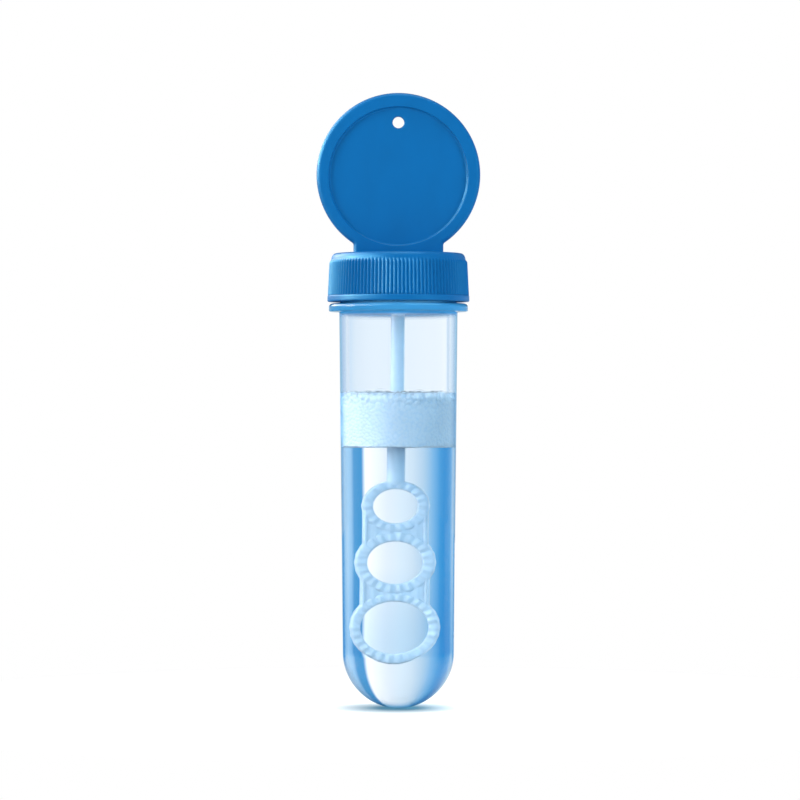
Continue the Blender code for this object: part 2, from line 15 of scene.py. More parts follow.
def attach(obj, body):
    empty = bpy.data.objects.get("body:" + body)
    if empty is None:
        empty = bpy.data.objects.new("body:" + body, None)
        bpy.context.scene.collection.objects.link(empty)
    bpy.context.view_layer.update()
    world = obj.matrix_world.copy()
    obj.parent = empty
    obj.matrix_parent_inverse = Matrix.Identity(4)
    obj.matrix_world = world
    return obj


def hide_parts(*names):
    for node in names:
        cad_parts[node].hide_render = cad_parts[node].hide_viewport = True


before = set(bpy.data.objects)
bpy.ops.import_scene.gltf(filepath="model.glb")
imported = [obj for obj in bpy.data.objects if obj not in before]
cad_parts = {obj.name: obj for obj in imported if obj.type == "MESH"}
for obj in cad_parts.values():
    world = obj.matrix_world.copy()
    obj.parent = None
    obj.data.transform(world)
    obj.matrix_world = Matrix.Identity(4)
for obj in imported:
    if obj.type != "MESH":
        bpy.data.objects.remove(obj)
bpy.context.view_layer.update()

bl_info = {
    "name": "Bubble Blower",
    "version": (1, 0, 0),
    "blender": (4, 5, 0),
    "location": "3D View > Sidebar > Bubble Blower",
    "description": "Builds a tube of bubble solution with its wand and screw cap",
    "category": "Add Mesh",
}

MM = 0.001
TURN = 2.0 * math.pi
RANDOM_SEED = 28


# Sizes and colours


def linear(code):
    """The linear RGB of an sRGB hex colour."""
    channels = [int(code[i : i + 2], 16) / 255.0 for i in (1, 3, 5)]
    return tuple(c / 12.92 if c <= 0.04045 else ((c + 0.055) / 1.055) ** 2.4 for c in channels)


def size(name, millimetres, description):
    """A length that a user may change."""
    return bpy.props.FloatProperty(
        name=name,
        description=description,
        default=millimetres * MM,
        subtype="DISTANCE",
        unit="LENGTH",
        precision=5,
    )


def colour(name, code, description):
    """A colour that a user may change, from its hex value."""
    return bpy.props.FloatVectorProperty(
        name=name,
        description=description,
        default=linear(code),
        subtype="COLOR",
        size=3,
        min=0.0,
        max=1.0,
    )


def count(name, number, description):
    """A number of like features."""
    return bpy.props.IntProperty(name=name, description=description, default=number, min=3)


class TubeSettings(bpy.types.PropertyGroup):
    """The clear tube, with its flange and screw neck."""

    neck_radius: size("Neck radius", 12.3, "Outside of the screw neck, without its thread")
    bore_radius: size("Bore radius", 11.0, "Inside of the tube at its lip")
    neck_height: size("Neck height", 7.9, "From the flange's top to the lip")
    flange_radius: size("Flange radius", 14.7, "Outside of the flange")
    flange_thickness: size("Flange thickness", 1.7, "From the flange's flat underside to its top")
    tube_radius: size("Tube radius", 12.5, "Outside of the tube under its flange")
    end_radius: size("End radius", 11.75, "Outside of the round end")
    end_wall: size("End wall", 1.15, "Wall of the round end")
    drop: size("Drop", 83.8, "From the flange's underside to the tube's bottom")
    thread_lead: size("Thread lead", 4.233, "Height that one turn of the cap gains")
    thread_depth: size("Thread depth", 1.1, "How far the thread stands out of the neck")
    plastic: colour("Plastic", "#F8FBFE", "Clear plastic with a breath of blue")
    edge: colour("Edge", "#74B4E0", "The wall seen along its thickness, where its blue gathers")
    deep_edge: colour("Deep edge", "#3F93D2", "The outermost line of the wall")
    thick: colour("Thick part", "#3E98D2", "The flange, thick enough for its blue to show")


class ContentsSettings(bpy.types.PropertyGroup):
    """The bubble solution and its head of foam."""

    solution_top: size("Solution top", -28.3, "Height of the solution's surface")
    foam_top: size("Foam top", -16.6, "Height of the foam's surface at the wall")
    wall_overlap: size("Wall overlap", 0.06, "How far the solution laps into the wall it wets")
    body_drop: size("Body drop", 1.1, "How far the fine foam lies under its clear top bubbles")
    large_bubble: size("Large bubble", 0.95, "Radius of the largest bubbles of the fine foam")
    small_bubble: size("Small bubble", 0.27, "Radius of the fine bubbles lower down")
    liquid: colour("Liquid", "#FAFDFF", "Clear soapy water")
    foam: colour("Foam", "#D8E9F7", "Lit films of the foam")
    # Painted shade: the darker blue painted into the creases between bubbles.
    film: colour("Film", "#BCDAF1", "Creases between bubbles, where the films meet")
    outline: colour("Outline", "#DCEAF5", "Rims of the clear bubbles on top")


class WandSettings(bpy.types.PropertyGroup):
    """The wand: a stem and three serrated rings joined by ridged webs."""

    stem_radius: size("Stem radius", 1.45, "Radius of the round stem")
    ring_thickness: size("Ring thickness", 2.2, "Thickness of each ring through the wand")
    top_bore: size("Top ring bore", 3.6, "Radius of the top ring's hole")
    middle_bore: size("Middle ring bore", 4.45, "Radius of the middle ring's hole")
    bottom_bore: size("Bottom ring bore", 5.5, "Radius of the bottom ring's hole")
    serration: size("Serration", 0.26, "Depth of the grooves that hold the solution")
    lean: bpy.props.FloatProperty(
        name="Lean",
        description="How far the wand hangs out of plumb in its socket",
        default=math.radians(0.5),
        subtype="ANGLE",
    )
    plastic: colour("Plastic", "#D4EBFC", "Milky, half-clear plastic")


class CapSettings(bpy.types.PropertyGroup):
    """The screw cap and the paddle moulded on it."""

    bottom: size("Bottom", 2.1, "Height of the cap's mouth")
    ceiling: size("Ceiling", 11.1, "Height of the ceiling inside")
    top: size("Top", 12.3, "Height of the cap's flat top")
    radius: size("Radius", 15.0, "Outside over the ribs and the plain band")
    bore: size("Bore", 13.65, "Inside between the turns of thread")
    ribs: count("Ribs", 112, "Fine upright ribs round the cap")
    rib_height: size("Rib height", 0.35, "How far a rib stands out")
    paddle_radius: size("Paddle radius", 17.3, "Outside of the round paddle")
    paddle_thickness: size("Paddle thickness", 3.6, "Thickness over the paddle's rims")
    recess_radius: size("Recess radius", 14.65, "Radius of the round recess in each face")
    recess_drop: size("Recess drop", 0.3, "How far the recess lies under the paddle's centre")
    recess_depth: size("Recess depth", 0.9, "Depth of each recess")
    tab_width: size("Tab width", 19.0, "Width of the tab between paddle and cap")
    hole_radius: size("Hole radius", 1.22, "Radius of the lanyard hole")
    plastic: colour("Plastic", "#005B9A", "Mid blue of the moulding")


class LinerSettings(bpy.types.PropertyGroup):
    """The sealing liner in the cap."""

    inner_radius: size("Inner radius", 3.25, "Hole that clears the wand's socket")
    outer_radius: size("Outer radius", 12.2, "Outside of the washer")
    bottom: size("Bottom", 9.9, "Height of its lower face")
    thickness: size("Thickness", 0.9, "Thickness of the sheet it is cut from")
    sheet: colour("Sheet", "#ECEEF0", "White closed-cell foam")


class StageSettings(bpy.types.PropertyGroup):
    """Floor, studio light and camera."""

    camera_distance: size("Camera distance", 780.0, "From the tube's axis to the camera")
    camera_height: size("Camera height", -18.67, "Height of the level camera")
    camera_side: size("Camera side", 0.34, "Camera's place to the right of the axis")
    field_of_view: bpy.props.FloatProperty(
        name="Field of view",
        description="Angle across the square picture",
        default=math.radians(12.38),
        subtype="ANGLE",
    )
    floor_radius: size("Floor radius", 900.0, "Radius of the paper sweep")
    paper: colour("Paper", "#E6E6E6", "White paper under the tube")


class BlowerSettings(bpy.types.PropertyGroup):
    """All the settings of the bubble blower."""

    tube: bpy.props.PointerProperty(type=TubeSettings)
    contents: bpy.props.PointerProperty(type=ContentsSettings)
    wand: bpy.props.PointerProperty(type=WandSettings)
    liner: bpy.props.PointerProperty(type=LinerSettings)
    cap: bpy.props.PointerProperty(type=CapSettings)
    stage: bpy.props.PointerProperty(type=StageSettings)


# Meshes


TINY = 1e-9


def arc(centre_r, centre_z, radius, start_deg, end_deg, steps):
    """Points along an arc, both ends included."""
    points = []
    for step in range(steps + 1):
        angle = math.radians(start_deg + (end_deg - start_deg) * step / steps)
        points.append((centre_r + radius * math.cos(angle), centre_z + radius * math.sin(angle)))
    return points


def smooth_step(value):
    """Eases a number from 0 to 1."""
    value = np.clip(value, 0.0, 1.0)
    return value * value * (3.0 - 2.0 * value)


def between(start, end, steps):
    """Heights or radii from start to end, both included."""
    return [start + (end - start) * step / steps for step in range(steps + 1)]


def ring(radius, height, segments, swell=None):
    """A level loop of points, or a pole. swell says how far each stands out, by angle and height."""
    if radius <= TINY:
        return np.array([(0.0, 0.0, height)])
    angles = np.arange(segments) * TURN / segments
    radii = np.full(segments, radius)
    if swell is not None:
        radii = radii + swell(angles, height)
    return np.column_stack((radii * np.cos(angles), radii * np.sin(angles), np.full(segments, height)))


def lathe(profile, segments, swell=None):
    """Level loops at the radii and heights of a profile."""
    return [ring(radius, height, segments, swell) for radius, height in profile]


def skin(loops, joined=False):
    """Points and faces over a row of loops. A loop of one point is a pole."""
    starts = np.cumsum([0] + [len(loop) for loop in loops]).tolist()
    faces = []
    pairs = list(zip(range(len(loops)), range(1, len(loops))))
    if joined:
        pairs.append((len(loops) - 1, 0))
    for low, high in pairs:
        a, b = starts[low], starts[high]
        n = max(len(loops[low]), len(loops[high]))
        for i in range(n):
            j = (i + 1) % n
            if len(loops[low]) == 1:
                faces.append((a, b + i, b + j))
            elif len(loops[high]) == 1:
                faces.append((a + i, b, a + j))
            else:
                faces.append((a + i, a + j, b + j, b + i))
    return np.concatenate(loops), faces


def link_object(name, data):
    """A new object in the scene."""
    obj = bpy.data.objects.new(name, data)
    bpy.context.scene.collection.objects.link(obj)
    return obj


def mesh_from(bm, name):
    """A new mesh from a bmesh, which is freed."""
    mesh = bpy.data.meshes.new(name)
    bm.to_mesh(mesh)
    bm.free()
    return mesh


def shade(mesh, crease_deg):
    """Shades a mesh smooth, but for the edges that turn by more than an angle."""
    mesh.shade_smooth()
    mesh.set_sharp_from_angle(angle=math.radians(crease_deg))


def new_piece(name, surface, material=None, crease_deg=40.0):
    """Links a smooth-shaded mesh object with its faces turned outwards."""
    points, faces = surface
    mesh = bpy.data.meshes.new(name)
    mesh.from_pydata([tuple(p) for p in points], [], faces)
    bm = bmesh.new()
    bm.from_mesh(mesh)
    bmesh.ops.recalc_face_normals(bm, faces=bm.faces)
    bm.to_mesh(mesh)
    bm.free()
    if material is not None:
        mesh.materials.append(material)
    shade(mesh, crease_deg)
    return link_object(name, mesh)


def merge(base, tools, crease_deg=40.0):
    """Joins other closed pieces to the base one with exact Booleans, and applies them."""
    for tool in tools:
        modifier = base.modifiers.new(tool.name, "BOOLEAN")
        modifier.operation = "UNION"
        modifier.object = tool
        modifier.solver = "EXACT"
    depsgraph = bpy.context.evaluated_depsgraph_get()
    mesh = bpy.data.meshes.new_from_object(base.evaluated_get(depsgraph))
    if len(mesh.polygons) < len(base.data.polygons) / 2:
        raise RuntimeError(f"{base.name}: a Boolean lost most of the piece")
    base.modifiers.clear()
    base.data = mesh
    shade(mesh, crease_deg)
    for tool in tools:
        bpy.data.objects.remove(tool)


def keep_numbers(obj, **values):
    """Stores a number at each point of the mesh for its material to read."""
    for name, numbers in values.items():
        attribute = obj.data.attributes.new(name, "FLOAT", "POINT")
        attribute.data.foreach_set("value", numbers)


def finish_piece(obj, body, node):
    """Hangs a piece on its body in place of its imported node."""
    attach(obj, body)
    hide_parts(node)


# Materials


WHITE = linear("#FFFFFF")


def add_node(tree, kind, sockets=None, **settings):
    """Adds a node with its settings. A socket's value is a number, a colour or an output."""
    node = tree.nodes.new(kind)
    for key, value in settings.items():
        setattr(node, key, value)
    for key, value in (sockets or {}).items():
        socket = node.inputs[key]
        if isinstance(value, bpy.types.NodeSocket):
            tree.links.new(value, socket)
        else:
            socket.default_value = (*value, 1.0) if socket.type == "RGBA" else value
    return node


def empty_tree(owner):
    """The node tree of a material or a world, cleared."""
    owner.use_nodes = True
    owner.node_tree.nodes.clear()
    return owner.node_tree


def new_material(name):
    """A material and its empty node tree."""
    material = bpy.data.materials.new(name)
    return material, empty_tree(material)


def end_with(tree, shader, kind="ShaderNodeOutputMaterial"):
    """Ends a tree with a shader."""
    add_node(tree, kind, {"Surface": shader})


def scaled(rgb, share):
    """A colour made darker or lighter."""
    return [c * share for c in rgb]


def per_mm(millimetres):
    """The scale at which a noise has features of about that size."""
    return 1.0 / (millimetres * MM)


def noise(tree, millimetres, detail=3.0, stretch=(1.0, 1.0, 1.0)):
    """Noise in object space, with features of that size."""
    place = add_node(tree, "ShaderNodeTexCoord").outputs["Object"]
    mapping = add_node(tree, "ShaderNodeMapping", {"Vector": place, "Scale": stretch})
    sockets = {"Vector": mapping.outputs[0], "Scale": per_mm(millimetres), "Detail": detail}
    return add_node(tree, "ShaderNodeTexNoise", sockets).outputs["Fac"]


def attribute(tree, name):
    """A number that the mesh carries at its points."""
    return add_node(tree, "ShaderNodeAttribute", attribute_name=name).outputs["Fac"]


def edge_on(tree):
    """How far a face turns from the eye: 0 face on, 1 edge on."""
    return add_node(tree, "ShaderNodeLayerWeight", {"Blend": 0.5}).outputs["Facing"]


def maths(tree, operation, *values):
    """The result of a maths node."""
    sockets = dict(enumerate(values))
    return add_node(tree, "ShaderNodeMath", sockets, operation=operation).outputs[0]


def remap(tree, value, low, high, start=0.0, end=1.0, clamp=True):
    """Maps a value from start..end to low..high."""
    sockets = {0: value, 1: start, 2: end, 3: low, 4: high}
    return add_node(tree, "ShaderNodeMapRange", sockets, clamp=clamp).outputs[0]


def blend_colours(tree, share, first, second):
    """A mix of two colours by a share from 0 to 1."""
    sockets = {"Factor": share, 6: first, 7: second}
    return add_node(tree, "ShaderNodeMix", sockets, data_type="RGBA").outputs[2]


def mottle(tree, pattern, first, second, start=0.3, end=0.7):
    """One colour where a pattern is low, and another where it is high."""
    return blend_colours(tree, remap(tree, pattern, 0.0, 1.0, start, end), first, second)


def mix_shaders(tree, share, first, second):
    """A mix of two shaders by a share from 0 to 1."""
    return add_node(tree, "ShaderNodeMixShader", {0: share, 1: first, 2: second}).outputs[0]


def bump(tree, height, strength, millimetres):
    """A surface that a pattern roughens by about that depth."""
    sockets = {"Height": height, "Strength": strength, "Distance": millimetres * MM}
    return add_node(tree, "ShaderNodeBump", sockets).outputs[0]


def principled(tree, sockets):
    """The shader that all the pieces are made with."""
    return add_node(tree, "ShaderNodeBsdfPrincipled", sockets).outputs[0]


def scattering(weight, millimetres):
    """Sockets for light that wanders about that far inside."""
    return {
        "Subsurface Weight": weight,
        "Subsurface Radius": (1.0, 1.0, 1.0),
        "Subsurface Scale": millimetres * MM,
    }


def let_lamps_through(tree, shader, tint):
    """Lets rays from lamps pass a clear material straight, so that they light what is behind."""
    clear = add_node(tree, "ShaderNodeBsdfTransparent", {"Color": tint}).outputs[0]
    shadow = add_node(tree, "ShaderNodeLightPath").outputs["Is Shadow Ray"]
    return mix_shaders(tree, shadow, shader, clear)


def clear_styrene(rgb, edge, deep_edge, solid):
    """Clear polystyrene, injection moulded in a polished tool.

    It is glassy, with a faint blue that gathers where the eye looks along the wall, and in the
    thick flange. Slow flow marks and a film of fine wear keep it from looking like glass.
    """
    material, tree = new_material("clear_polystyrene_moulded")
    facing, outside, thick = edge_on(tree), attribute(tree, "outside"), attribute(tree, "thick")
    tint = rgb
    for deeper, start, end in ((edge, 0.54, 0.76), (deep_edge, 0.68, 0.86)):
        along = maths(tree, "MULTIPLY", remap(tree, facing, 0.0, 1.0, start, end), outside)
        tint = blend_colours(tree, along, tint, deeper)
    wear = noise(tree, 0.9, 4.0)
    flow = noise(tree, 9.0, 2.0, (1.0, 1.0, 0.35))
    sockets = {
        "Base Color": blend_colours(tree, thick, tint, solid),
        "Roughness": remap(tree, wear, 0.0, 0.03, 0.35, 0.75),
        "Transmission Weight": remap(tree, thick, 1.0, 0.3),
        "IOR": 1.55,
        "Specular Tint": (0.15, 0.15, 0.15),
        "Normal": bump(tree, flow, 0.06, 0.25),
    }
    end_with(tree, let_lamps_through(tree, principled(tree, sockets), linear("#F9FCFD")))
    return material


def soapy_water(rgb):
    """Bubble solution: soap and glycerine in water, still and clear.

    It magnifies the wand like a lens. Threads of glycerine that never quite mix tint it a little
    unevenly.
    """
    material, tree = new_material("bubble_solution_liquid")
    threads = noise(tree, 7.0, 1.0, (1.0, 1.0, 0.25))
    sockets = {
        "Base Color": mottle(tree, threads, rgb, scaled(rgb, 0.985)),
        "Roughness": 0.0,
        "Transmission Weight": 1.0,
        "IOR": 1.34,
        "Specular Tint": (0.0, 0.0, 0.0),
    }
    end_with(tree, let_lamps_through(tree, principled(tree, sockets), linear("#FCFDFE")))
    return material


def wet_foam(lit, crease):
    """Soap foam, shaken up: packed wet bubbles.

    Light scatters in it until it is white, and each film glints. The creases between bubbles are
    painted with shade, a little darker and bluer, and the large bubbles near the top are glossier
    than the fine ones.
    """
    material, tree = new_material("soap_foam_wet")
    crease_shade_share, large = attribute(tree, "crease"), attribute(tree, "large")
    patches = noise(tree, 2.4, 3.0, (1.0, 1.0, 0.6))
    body = mottle(tree, patches, lit, scaled(lit, 0.95), 0.35, 0.65)
    sockets = {
        # Painted shade: the creases between bubbles blend towards the darker crease colour.
        "Base Color": blend_colours(tree, remap(tree, crease_shade_share, 0.0, 0.45), body, crease),
        "Roughness": remap(tree, large, 0.4, 0.22),
        "Transmission Weight": remap(tree, large, 0.12, 0.04),
        "IOR": 1.33,
    }
    end_with(tree, principled(tree, {**sockets, **scattering(0.3, 0.8)}))
    return material


def soap_film(rgb):
    """Soap film, far thinner than a hair: half clear face on, solid at its rim."""
    material, tree = new_material("soap_film_thin")
    swirl = noise(tree, 0.8, 3.0)
    sockets = {
        "Base Color": mottle(tree, swirl, rgb, scaled(rgb, 0.8)),
        "Roughness": 0.08,
        "IOR": 1.33,
        "Alpha": remap(tree, edge_on(tree), 0.04, 0.32, 0.55, 1.0),
    }
    end_with(tree, principled(tree, sockets))
    return material


def frosted_polypropylene(rgb):
    """Natural polypropylene, injection moulded: milky, half clear and a little waxy.

    It glows where light comes through its thin webs, and its skin has the tool's fine texture.
    """
    material, tree = new_material("polypropylene_natural_moulded")
    cloud, grain = noise(tree, 2.0, 3.0), noise(tree, 0.22, 2.0)
    sockets = {
        "Base Color": mottle(tree, cloud, rgb, scaled(rgb, 0.93)),
        "Roughness": remap(tree, grain, 0.26, 0.38),
        "Transmission Weight": 0.25,
        "IOR": 1.49,
        "Normal": bump(tree, grain, 0.15, 0.05),
    }
    end_with(tree, principled(tree, {**sockets, **scattering(0.2, 0.8)}))
    return material


def coloured_polypropylene(rgb):
    """Blue polypropylene, injection moulded in a lightly blasted tool.

    It is satin, with soft wide highlights that keep its blue. Pigment streaks from the melt shift
    the blue a little.
    """
    material, tree = new_material("polypropylene_blue_moulded")
    streaks = noise(tree, 5.0, 3.0, (1.0, 1.0, 0.4))
    grain = noise(tree, 0.16, 2.0)
    sockets = {
        "Base Color": mottle(tree, streaks, scaled(rgb, 0.96), scaled(rgb, 1.05)),
        "Roughness": remap(tree, grain, 0.34, 0.44),
        "IOR": 1.49,
        "Specular Tint": (0.3, 0.9, 0.9),
        "Normal": bump(tree, grain, 0.18, 0.03),
    }
    end_with(tree, principled(tree, sockets))
    return material


def foam_sheet(rgb):
    """Expanded polyethylene sheet, die cut: white, matte and soft, with fine closed cells."""
    material, tree = new_material("polyethylene_foam_die_cut")
    place = add_node(tree, "ShaderNodeTexCoord").outputs["Object"]
    sockets = {"Vector": place, "Scale": per_mm(0.4)}
    cells = add_node(tree, "ShaderNodeTexVoronoi", sockets).outputs["Distance"]
    sockets = {
        "Base Color": mottle(tree, cells, rgb, scaled(rgb, 0.86), 0.2, 0.9),
        "Roughness": remap(tree, cells, 0.62, 0.8),
        "IOR": 1.5,
        "Normal": bump(tree, cells, 0.5, 0.06),
    }
    end_with(tree, principled(tree, {**sockets, **scattering(0.2, 0.5)}))
    return material


# Tube


THREAD_TURNS = 1.1
THREAD_ROOT = 1.9 * MM
THREAD_CREST = 1.0 * MM
THREAD_FADE_TURNS = 0.06
THREAD_START_GAP = 0.5 * MM
THREAD_RADIAL_GAP = 0.25 * MM
THREAD_FLANK_GAP = 0.2 * MM


def thread_rise(tube, depth, angles, height, first_turn=0.0, lower=0.0):
    """How far a thread stands out of its wall at these angles, at one height."""
    start = tube.flange_thickness + THREAD_START_GAP + THREAD_ROOT / 2.0 - lower
    rise = np.zeros_like(angles)
    for extra in range(3):
        turn = angles / TURN + extra
        share = np.minimum(turn - first_turn, first_turn + THREAD_TURNS - turn) / THREAD_FADE_TURNS
        away = np.abs(height - (start + tube.thread_lead * turn))
        flank = (THREAD_ROOT / 2.0 - away) / ((THREAD_ROOT - THREAD_CREST) / 2.0)
        rise = np.maximum(rise, depth * smooth_step(flank) * smooth_step(share))
    return rise


def bore_at(tube, height):
    """Radius of the tube's bore at a height."""
    lip = tube.flange_thickness + tube.neck_height
    end_centre = -tube.drop + tube.end_radius
    share = (lip - height) / (lip - end_centre)
    return tube.bore_radius + (tube.end_radius - tube.end_wall - tube.bore_radius) * share


def tube_profile(tube):
    """Radii and heights down the outside and up the inside, and the number of rows outside."""
    flange, top = tube.flange_radius, tube.flange_thickness
    lip = top + tube.neck_height
    end_centre = -tube.drop + tube.end_radius
    gate, nub, gate_depth = 1.2 * MM, 0.6 * MM, 0.16 * MM
    root_round, under_round, top_round = 0.45 * MM, 0.3 * MM, 0.75 * MM
    neck_round, lip_round = 0.4 * MM, 0.4 * MM
    inner_end = tube.end_radius - tube.end_wall

    gate_deg = math.degrees(math.acos(gate / tube.end_radius))
    profile = [(0.0, -tube.drop), (nub, -tube.drop), (nub + 0.15 * MM, -tube.drop + gate_depth)]
    profile += arc(0.0, end_centre, tube.end_radius, -gate_deg, 0.0, 44)
    taper, rise = tube.tube_radius - tube.end_radius, -root_round - end_centre
    shares = between(0.05, 1.0, 24)
    # Two more rows close under the flange, where its blue fades out.
    shares[-1:-1] = (0.985, 0.992)
    profile += [(tube.end_radius + taper * share, end_centre + rise * share) for share in shares]
    profile += arc(tube.tube_radius + root_round, -root_round, root_round, 180.0, 90.0, 6)
    profile += arc(flange - under_round, under_round, under_round, -90.0, 0.0, 5)
    profile += arc(flange - top_round, top - top_round, top_round, 0.0, 90.0, 9)
    profile += arc(tube.neck_radius + neck_round, top + neck_round, neck_round, 270.0, 180.0, 5)
    neck_rows = between(top + neck_round, lip - lip_round, 60)[1:-1]
    profile += [(tube.neck_radius, z) for z in neck_rows]
    profile += arc(tube.neck_radius - lip_round, lip - lip_round, lip_round, 0.0, 90.0, 6)
    outer_rows = len(profile)
    profile += arc(tube.bore_radius + lip_round, lip - lip_round, lip_round, 90.0, 180.0, 6)
    profile += [(bore_at(tube, z), z) for z in between(lip - 1.0 * MM, end_centre, 30)[:-1]]
    profile += arc(0.0, end_centre, inner_end, 0.0, -90.0, 44)
    return profile, outer_rows


def build_tube(tube):
    """The tube with its round end, flange, threaded neck and lip, as one closed glassy skin.

    It carries two numbers: outside, and thick, which fades out just under and over the flange.
    """
    top = tube.flange_thickness
    segments = 256
    flange_foot, flange_fade = 0.1 * MM, 0.5 * MM
    under, under_fade, over, over_fade = 1.3 * MM, 0.9 * MM, 1.4 * MM, 0.8 * MM

    def swell(angles, height):
        return thread_rise(tube, tube.thread_depth, angles, height)

    loops, outside, thick = [], [], []
    profile, outer_rows = tube_profile(tube)
    for row, (radius, height) in enumerate(profile):
        on_neck = abs(radius - tube.neck_radius) < TINY and height > top
        loops.append(ring(radius, height, segments, swell if on_neck else None))
        in_flange = smooth_step((radius - tube.tube_radius - flange_foot) / flange_fade)
        in_root = smooth_step((height + under) / under_fade)
        in_root *= smooth_step((top + over - height) / over_fade)
        outer = float(row < outer_rows)
        outside += [outer] * len(loops[-1])
        thick += [outer * float(max(in_flange, in_root))] * len(loops[-1])
    plastic = clear_styrene(tube.plastic, tube.edge, tube.deep_edge, tube.thick)
    obj = new_piece("tube_moulding", skin(loops), plastic, crease_deg=60.0)
    keep_numbers(obj, outside=outside, thick=thick)
    finish_piece(obj, "tube", "tube")


# Contents


SIDE_TRIES = 15000
HEAP_TRIES = 3000
DOME_TRIES = 3000
FINE_TRIES = 260
NEIGHBOURS = 7
FOAM_SEGMENTS = 800
# Number round the tube, height and phase of the waves in the foam's uneven foot.
FOOT_WAVES = ((7.0, 1.0, 1.0), (17.0, 0.6, 0.0), (41.0, 0.4, 0.0))


def build_solution(tube, contents):
    """The liquid, which laps a hair into the wall it wets. The foam rests on its flat top."""
    end_centre = -tube.drop + tube.end_radius
    end_bore = tube.end_radius - tube.end_wall + contents.wall_overlap
    top = contents.solution_top
    wall = bore_at(tube, top) + contents.wall_overlap
    profile = arc(0.0, end_centre, end_bore, -90.0, 0.0, 40)
    profile += [
        (end_bore + (wall - end_bore) * share, end_centre + (top - end_centre) * share)
        for share in between(0.05, 1.0, 20)
    ]
    profile += [(wall * share, top) for share in (0.95, 0.6, 0.3, 0.0)]
    surface, water = skin(lathe(profile, 192)), soapy_water(contents.liquid)
    obj = new_piece("bubble_solution_liquid", surface, water, crease_deg=80.0)
    finish_piece(obj, "tube", "bubble_solution")


def pack_bubbles(tries, spacing, draw):
    """Places and radii of bubbles drawn one by one, without those that cut too far into others.

    Spacing is the least distance between two, as a share of their radii together.
    """
    spot, bubble = draw()
    spots, sizes = np.array([spot]), np.array([bubble])
    for _ in range(tries - 1):
        spot, bubble = draw()
        clear = np.linalg.norm(spots - spot, axis=1) - spacing * (sizes + bubble)
        if clear.min() >= 0.0:
            spots = np.vstack((spots, spot))
            sizes = np.append(sizes, bubble)
    return spots, sizes


def spot_on_disc(reach, rng):
    """A place drawn evenly on a disc."""
    angle = TURN * rng.random()
    away = reach * math.sqrt(rng.random())
    return away * math.cos(angle), away * math.sin(angle)


def side_bubbles(radius, low, high, contents, rng):
    """Centres and radii of bubbles packed on the foam's side, large ones near its top."""
    large_zone = 3.6 * MM
    spacing, sink, growth = 0.88, 0.85, 1.12

    def draw():
        height = low + (high - low) * rng.random()
        share = float(smooth_step((height - (high - large_zone)) / large_zone))
        small = contents.small_bubble * (1.0 + 0.5 * rng.random())
        big = contents.large_bubble * (0.42 + 0.58 * rng.random() ** 3)
        angle = TURN * rng.random()
        spot = (radius * math.cos(angle), radius * math.sin(angle), height)
        return spot, small + (big - small) * share

    centres, radii = [], []
    for (x, y, z), bubble in zip(*pack_bubbles(SIDE_TRIES, spacing, draw)):
        depth = radius - bubble * sink
        centres.append((x / radius * depth, y / radius * depth, z))
        radii.append(bubble * growth)
    return centres, radii


def heaped_bubbles(radius, height, contents, rng):
    """Centres and radii of the bubbles heaped on the foam's upper face."""
    spacing, sink, growth, unevenness = 0.85, 0.6, 1.15, 0.25 * MM

    def draw():
        spot = spot_on_disc(radius, rng)
        return spot, contents.large_bubble * (0.4 + 0.6 * rng.random() ** 2)

    centres, radii = [], []
    for (x, y), bubble in zip(*pack_bubbles(HEAP_TRIES, spacing, draw)):
        centres.append((x, y, height - bubble * sink + unevenness * rng.standard_normal()))
        radii.append(bubble * growth)
    return centres, radii


def top_domes(tube, wand, contents):
    """Places, radii and top heights of the clear bubbles heaped on the foam."""
    rng = np.random.default_rng(RANDOM_SEED + 1)
    high = contents.foam_top
    reach = bore_at(tube, high) - 0.15 * MM
    stem = wand.stem_radius + 0.1 * MM
    spacing = 0.74
    # The large ones that show at the front come first.
    domes = [
        (-3.7 * MM, -5.6 * MM, 2.0 * MM, high + 0.45 * MM),
        (4.2 * MM, -6.4 * MM, 2.1 * MM, high + 0.25 * MM),
        (7.6 * MM, -5.4 * MM, 1.7 * MM, high + 0.05 * MM),
        (0.2 * MM, -7.2 * MM, 1.2 * MM, high - 0.5 * MM),
    ]
    for _ in range(DOME_TRIES):
        radius = (0.7 + 1.1 * rng.random() ** 2) * MM
        x, y = spot_on_disc(reach - 0.5 * radius, rng)
        if math.hypot(x, y) < stem + radius:
            continue
        if all(math.hypot(x - a, y - b) > spacing * (radius + r) for a, b, r, _ in domes):
            domes.append((x, y, radius, high + (rng.random() * 0.45 - 0.35) * MM))
    return domes


def build_wet_film(tube, wand, contents):
    """The liquid of the foam, which wets the wall. Its top is film that bulges over bubbles."""
    low = contents.solution_top + 0.01 * MM
    high = contents.foam_top - 0.5 * MM
    segments = 256
    domes = np.array(top_domes(tube, wand, contents))
    loops = [ring(0.0, low, segments)]
    side = [(bore_at(tube, z) + contents.wall_overlap, z) for z in between(low, high, 12)]
    loops += lathe(side, segments)
    angles = np.arange(segments) * TURN / segments
    wall = bore_at(tube, high)
    for radius in between(wall - 0.12 * MM, 0.2 * MM, 56):
        x, y = radius * np.cos(angles), radius * np.sin(angles)
        away = np.hypot(x[:, None] - domes[:, 0], y[:, None] - domes[:, 1])
        bulge = np.sqrt(np.maximum(domes[:, 2] ** 2 - away**2, 0.0)) - domes[:, 2] + domes[:, 3]
        bulge = np.where(away < domes[:, 2], bulge, high - 1.0 * MM)
        rise = np.maximum(bulge.max(axis=1), high - 0.6 * MM)
        near_wall = float(smooth_step((wall - radius) / (0.5 * MM)))
        loops.append(np.column_stack((x, y, high + (rise - high) * near_wall)))
    loops.append(ring(0.0, high - 0.5 * MM, segments))
    obj = new_piece("foam_wet_film", skin(loops), soapy_water(contents.liquid), crease_deg=180.0)
    obj.visible_shadow = False
    obj.data.materials.append(soap_film(contents.outline))
    for face in obj.data.polygons:
        if face.normal.z > 0.1:
            face.material_index = 1
    finish_piece(obj, "tube", "foam_head")


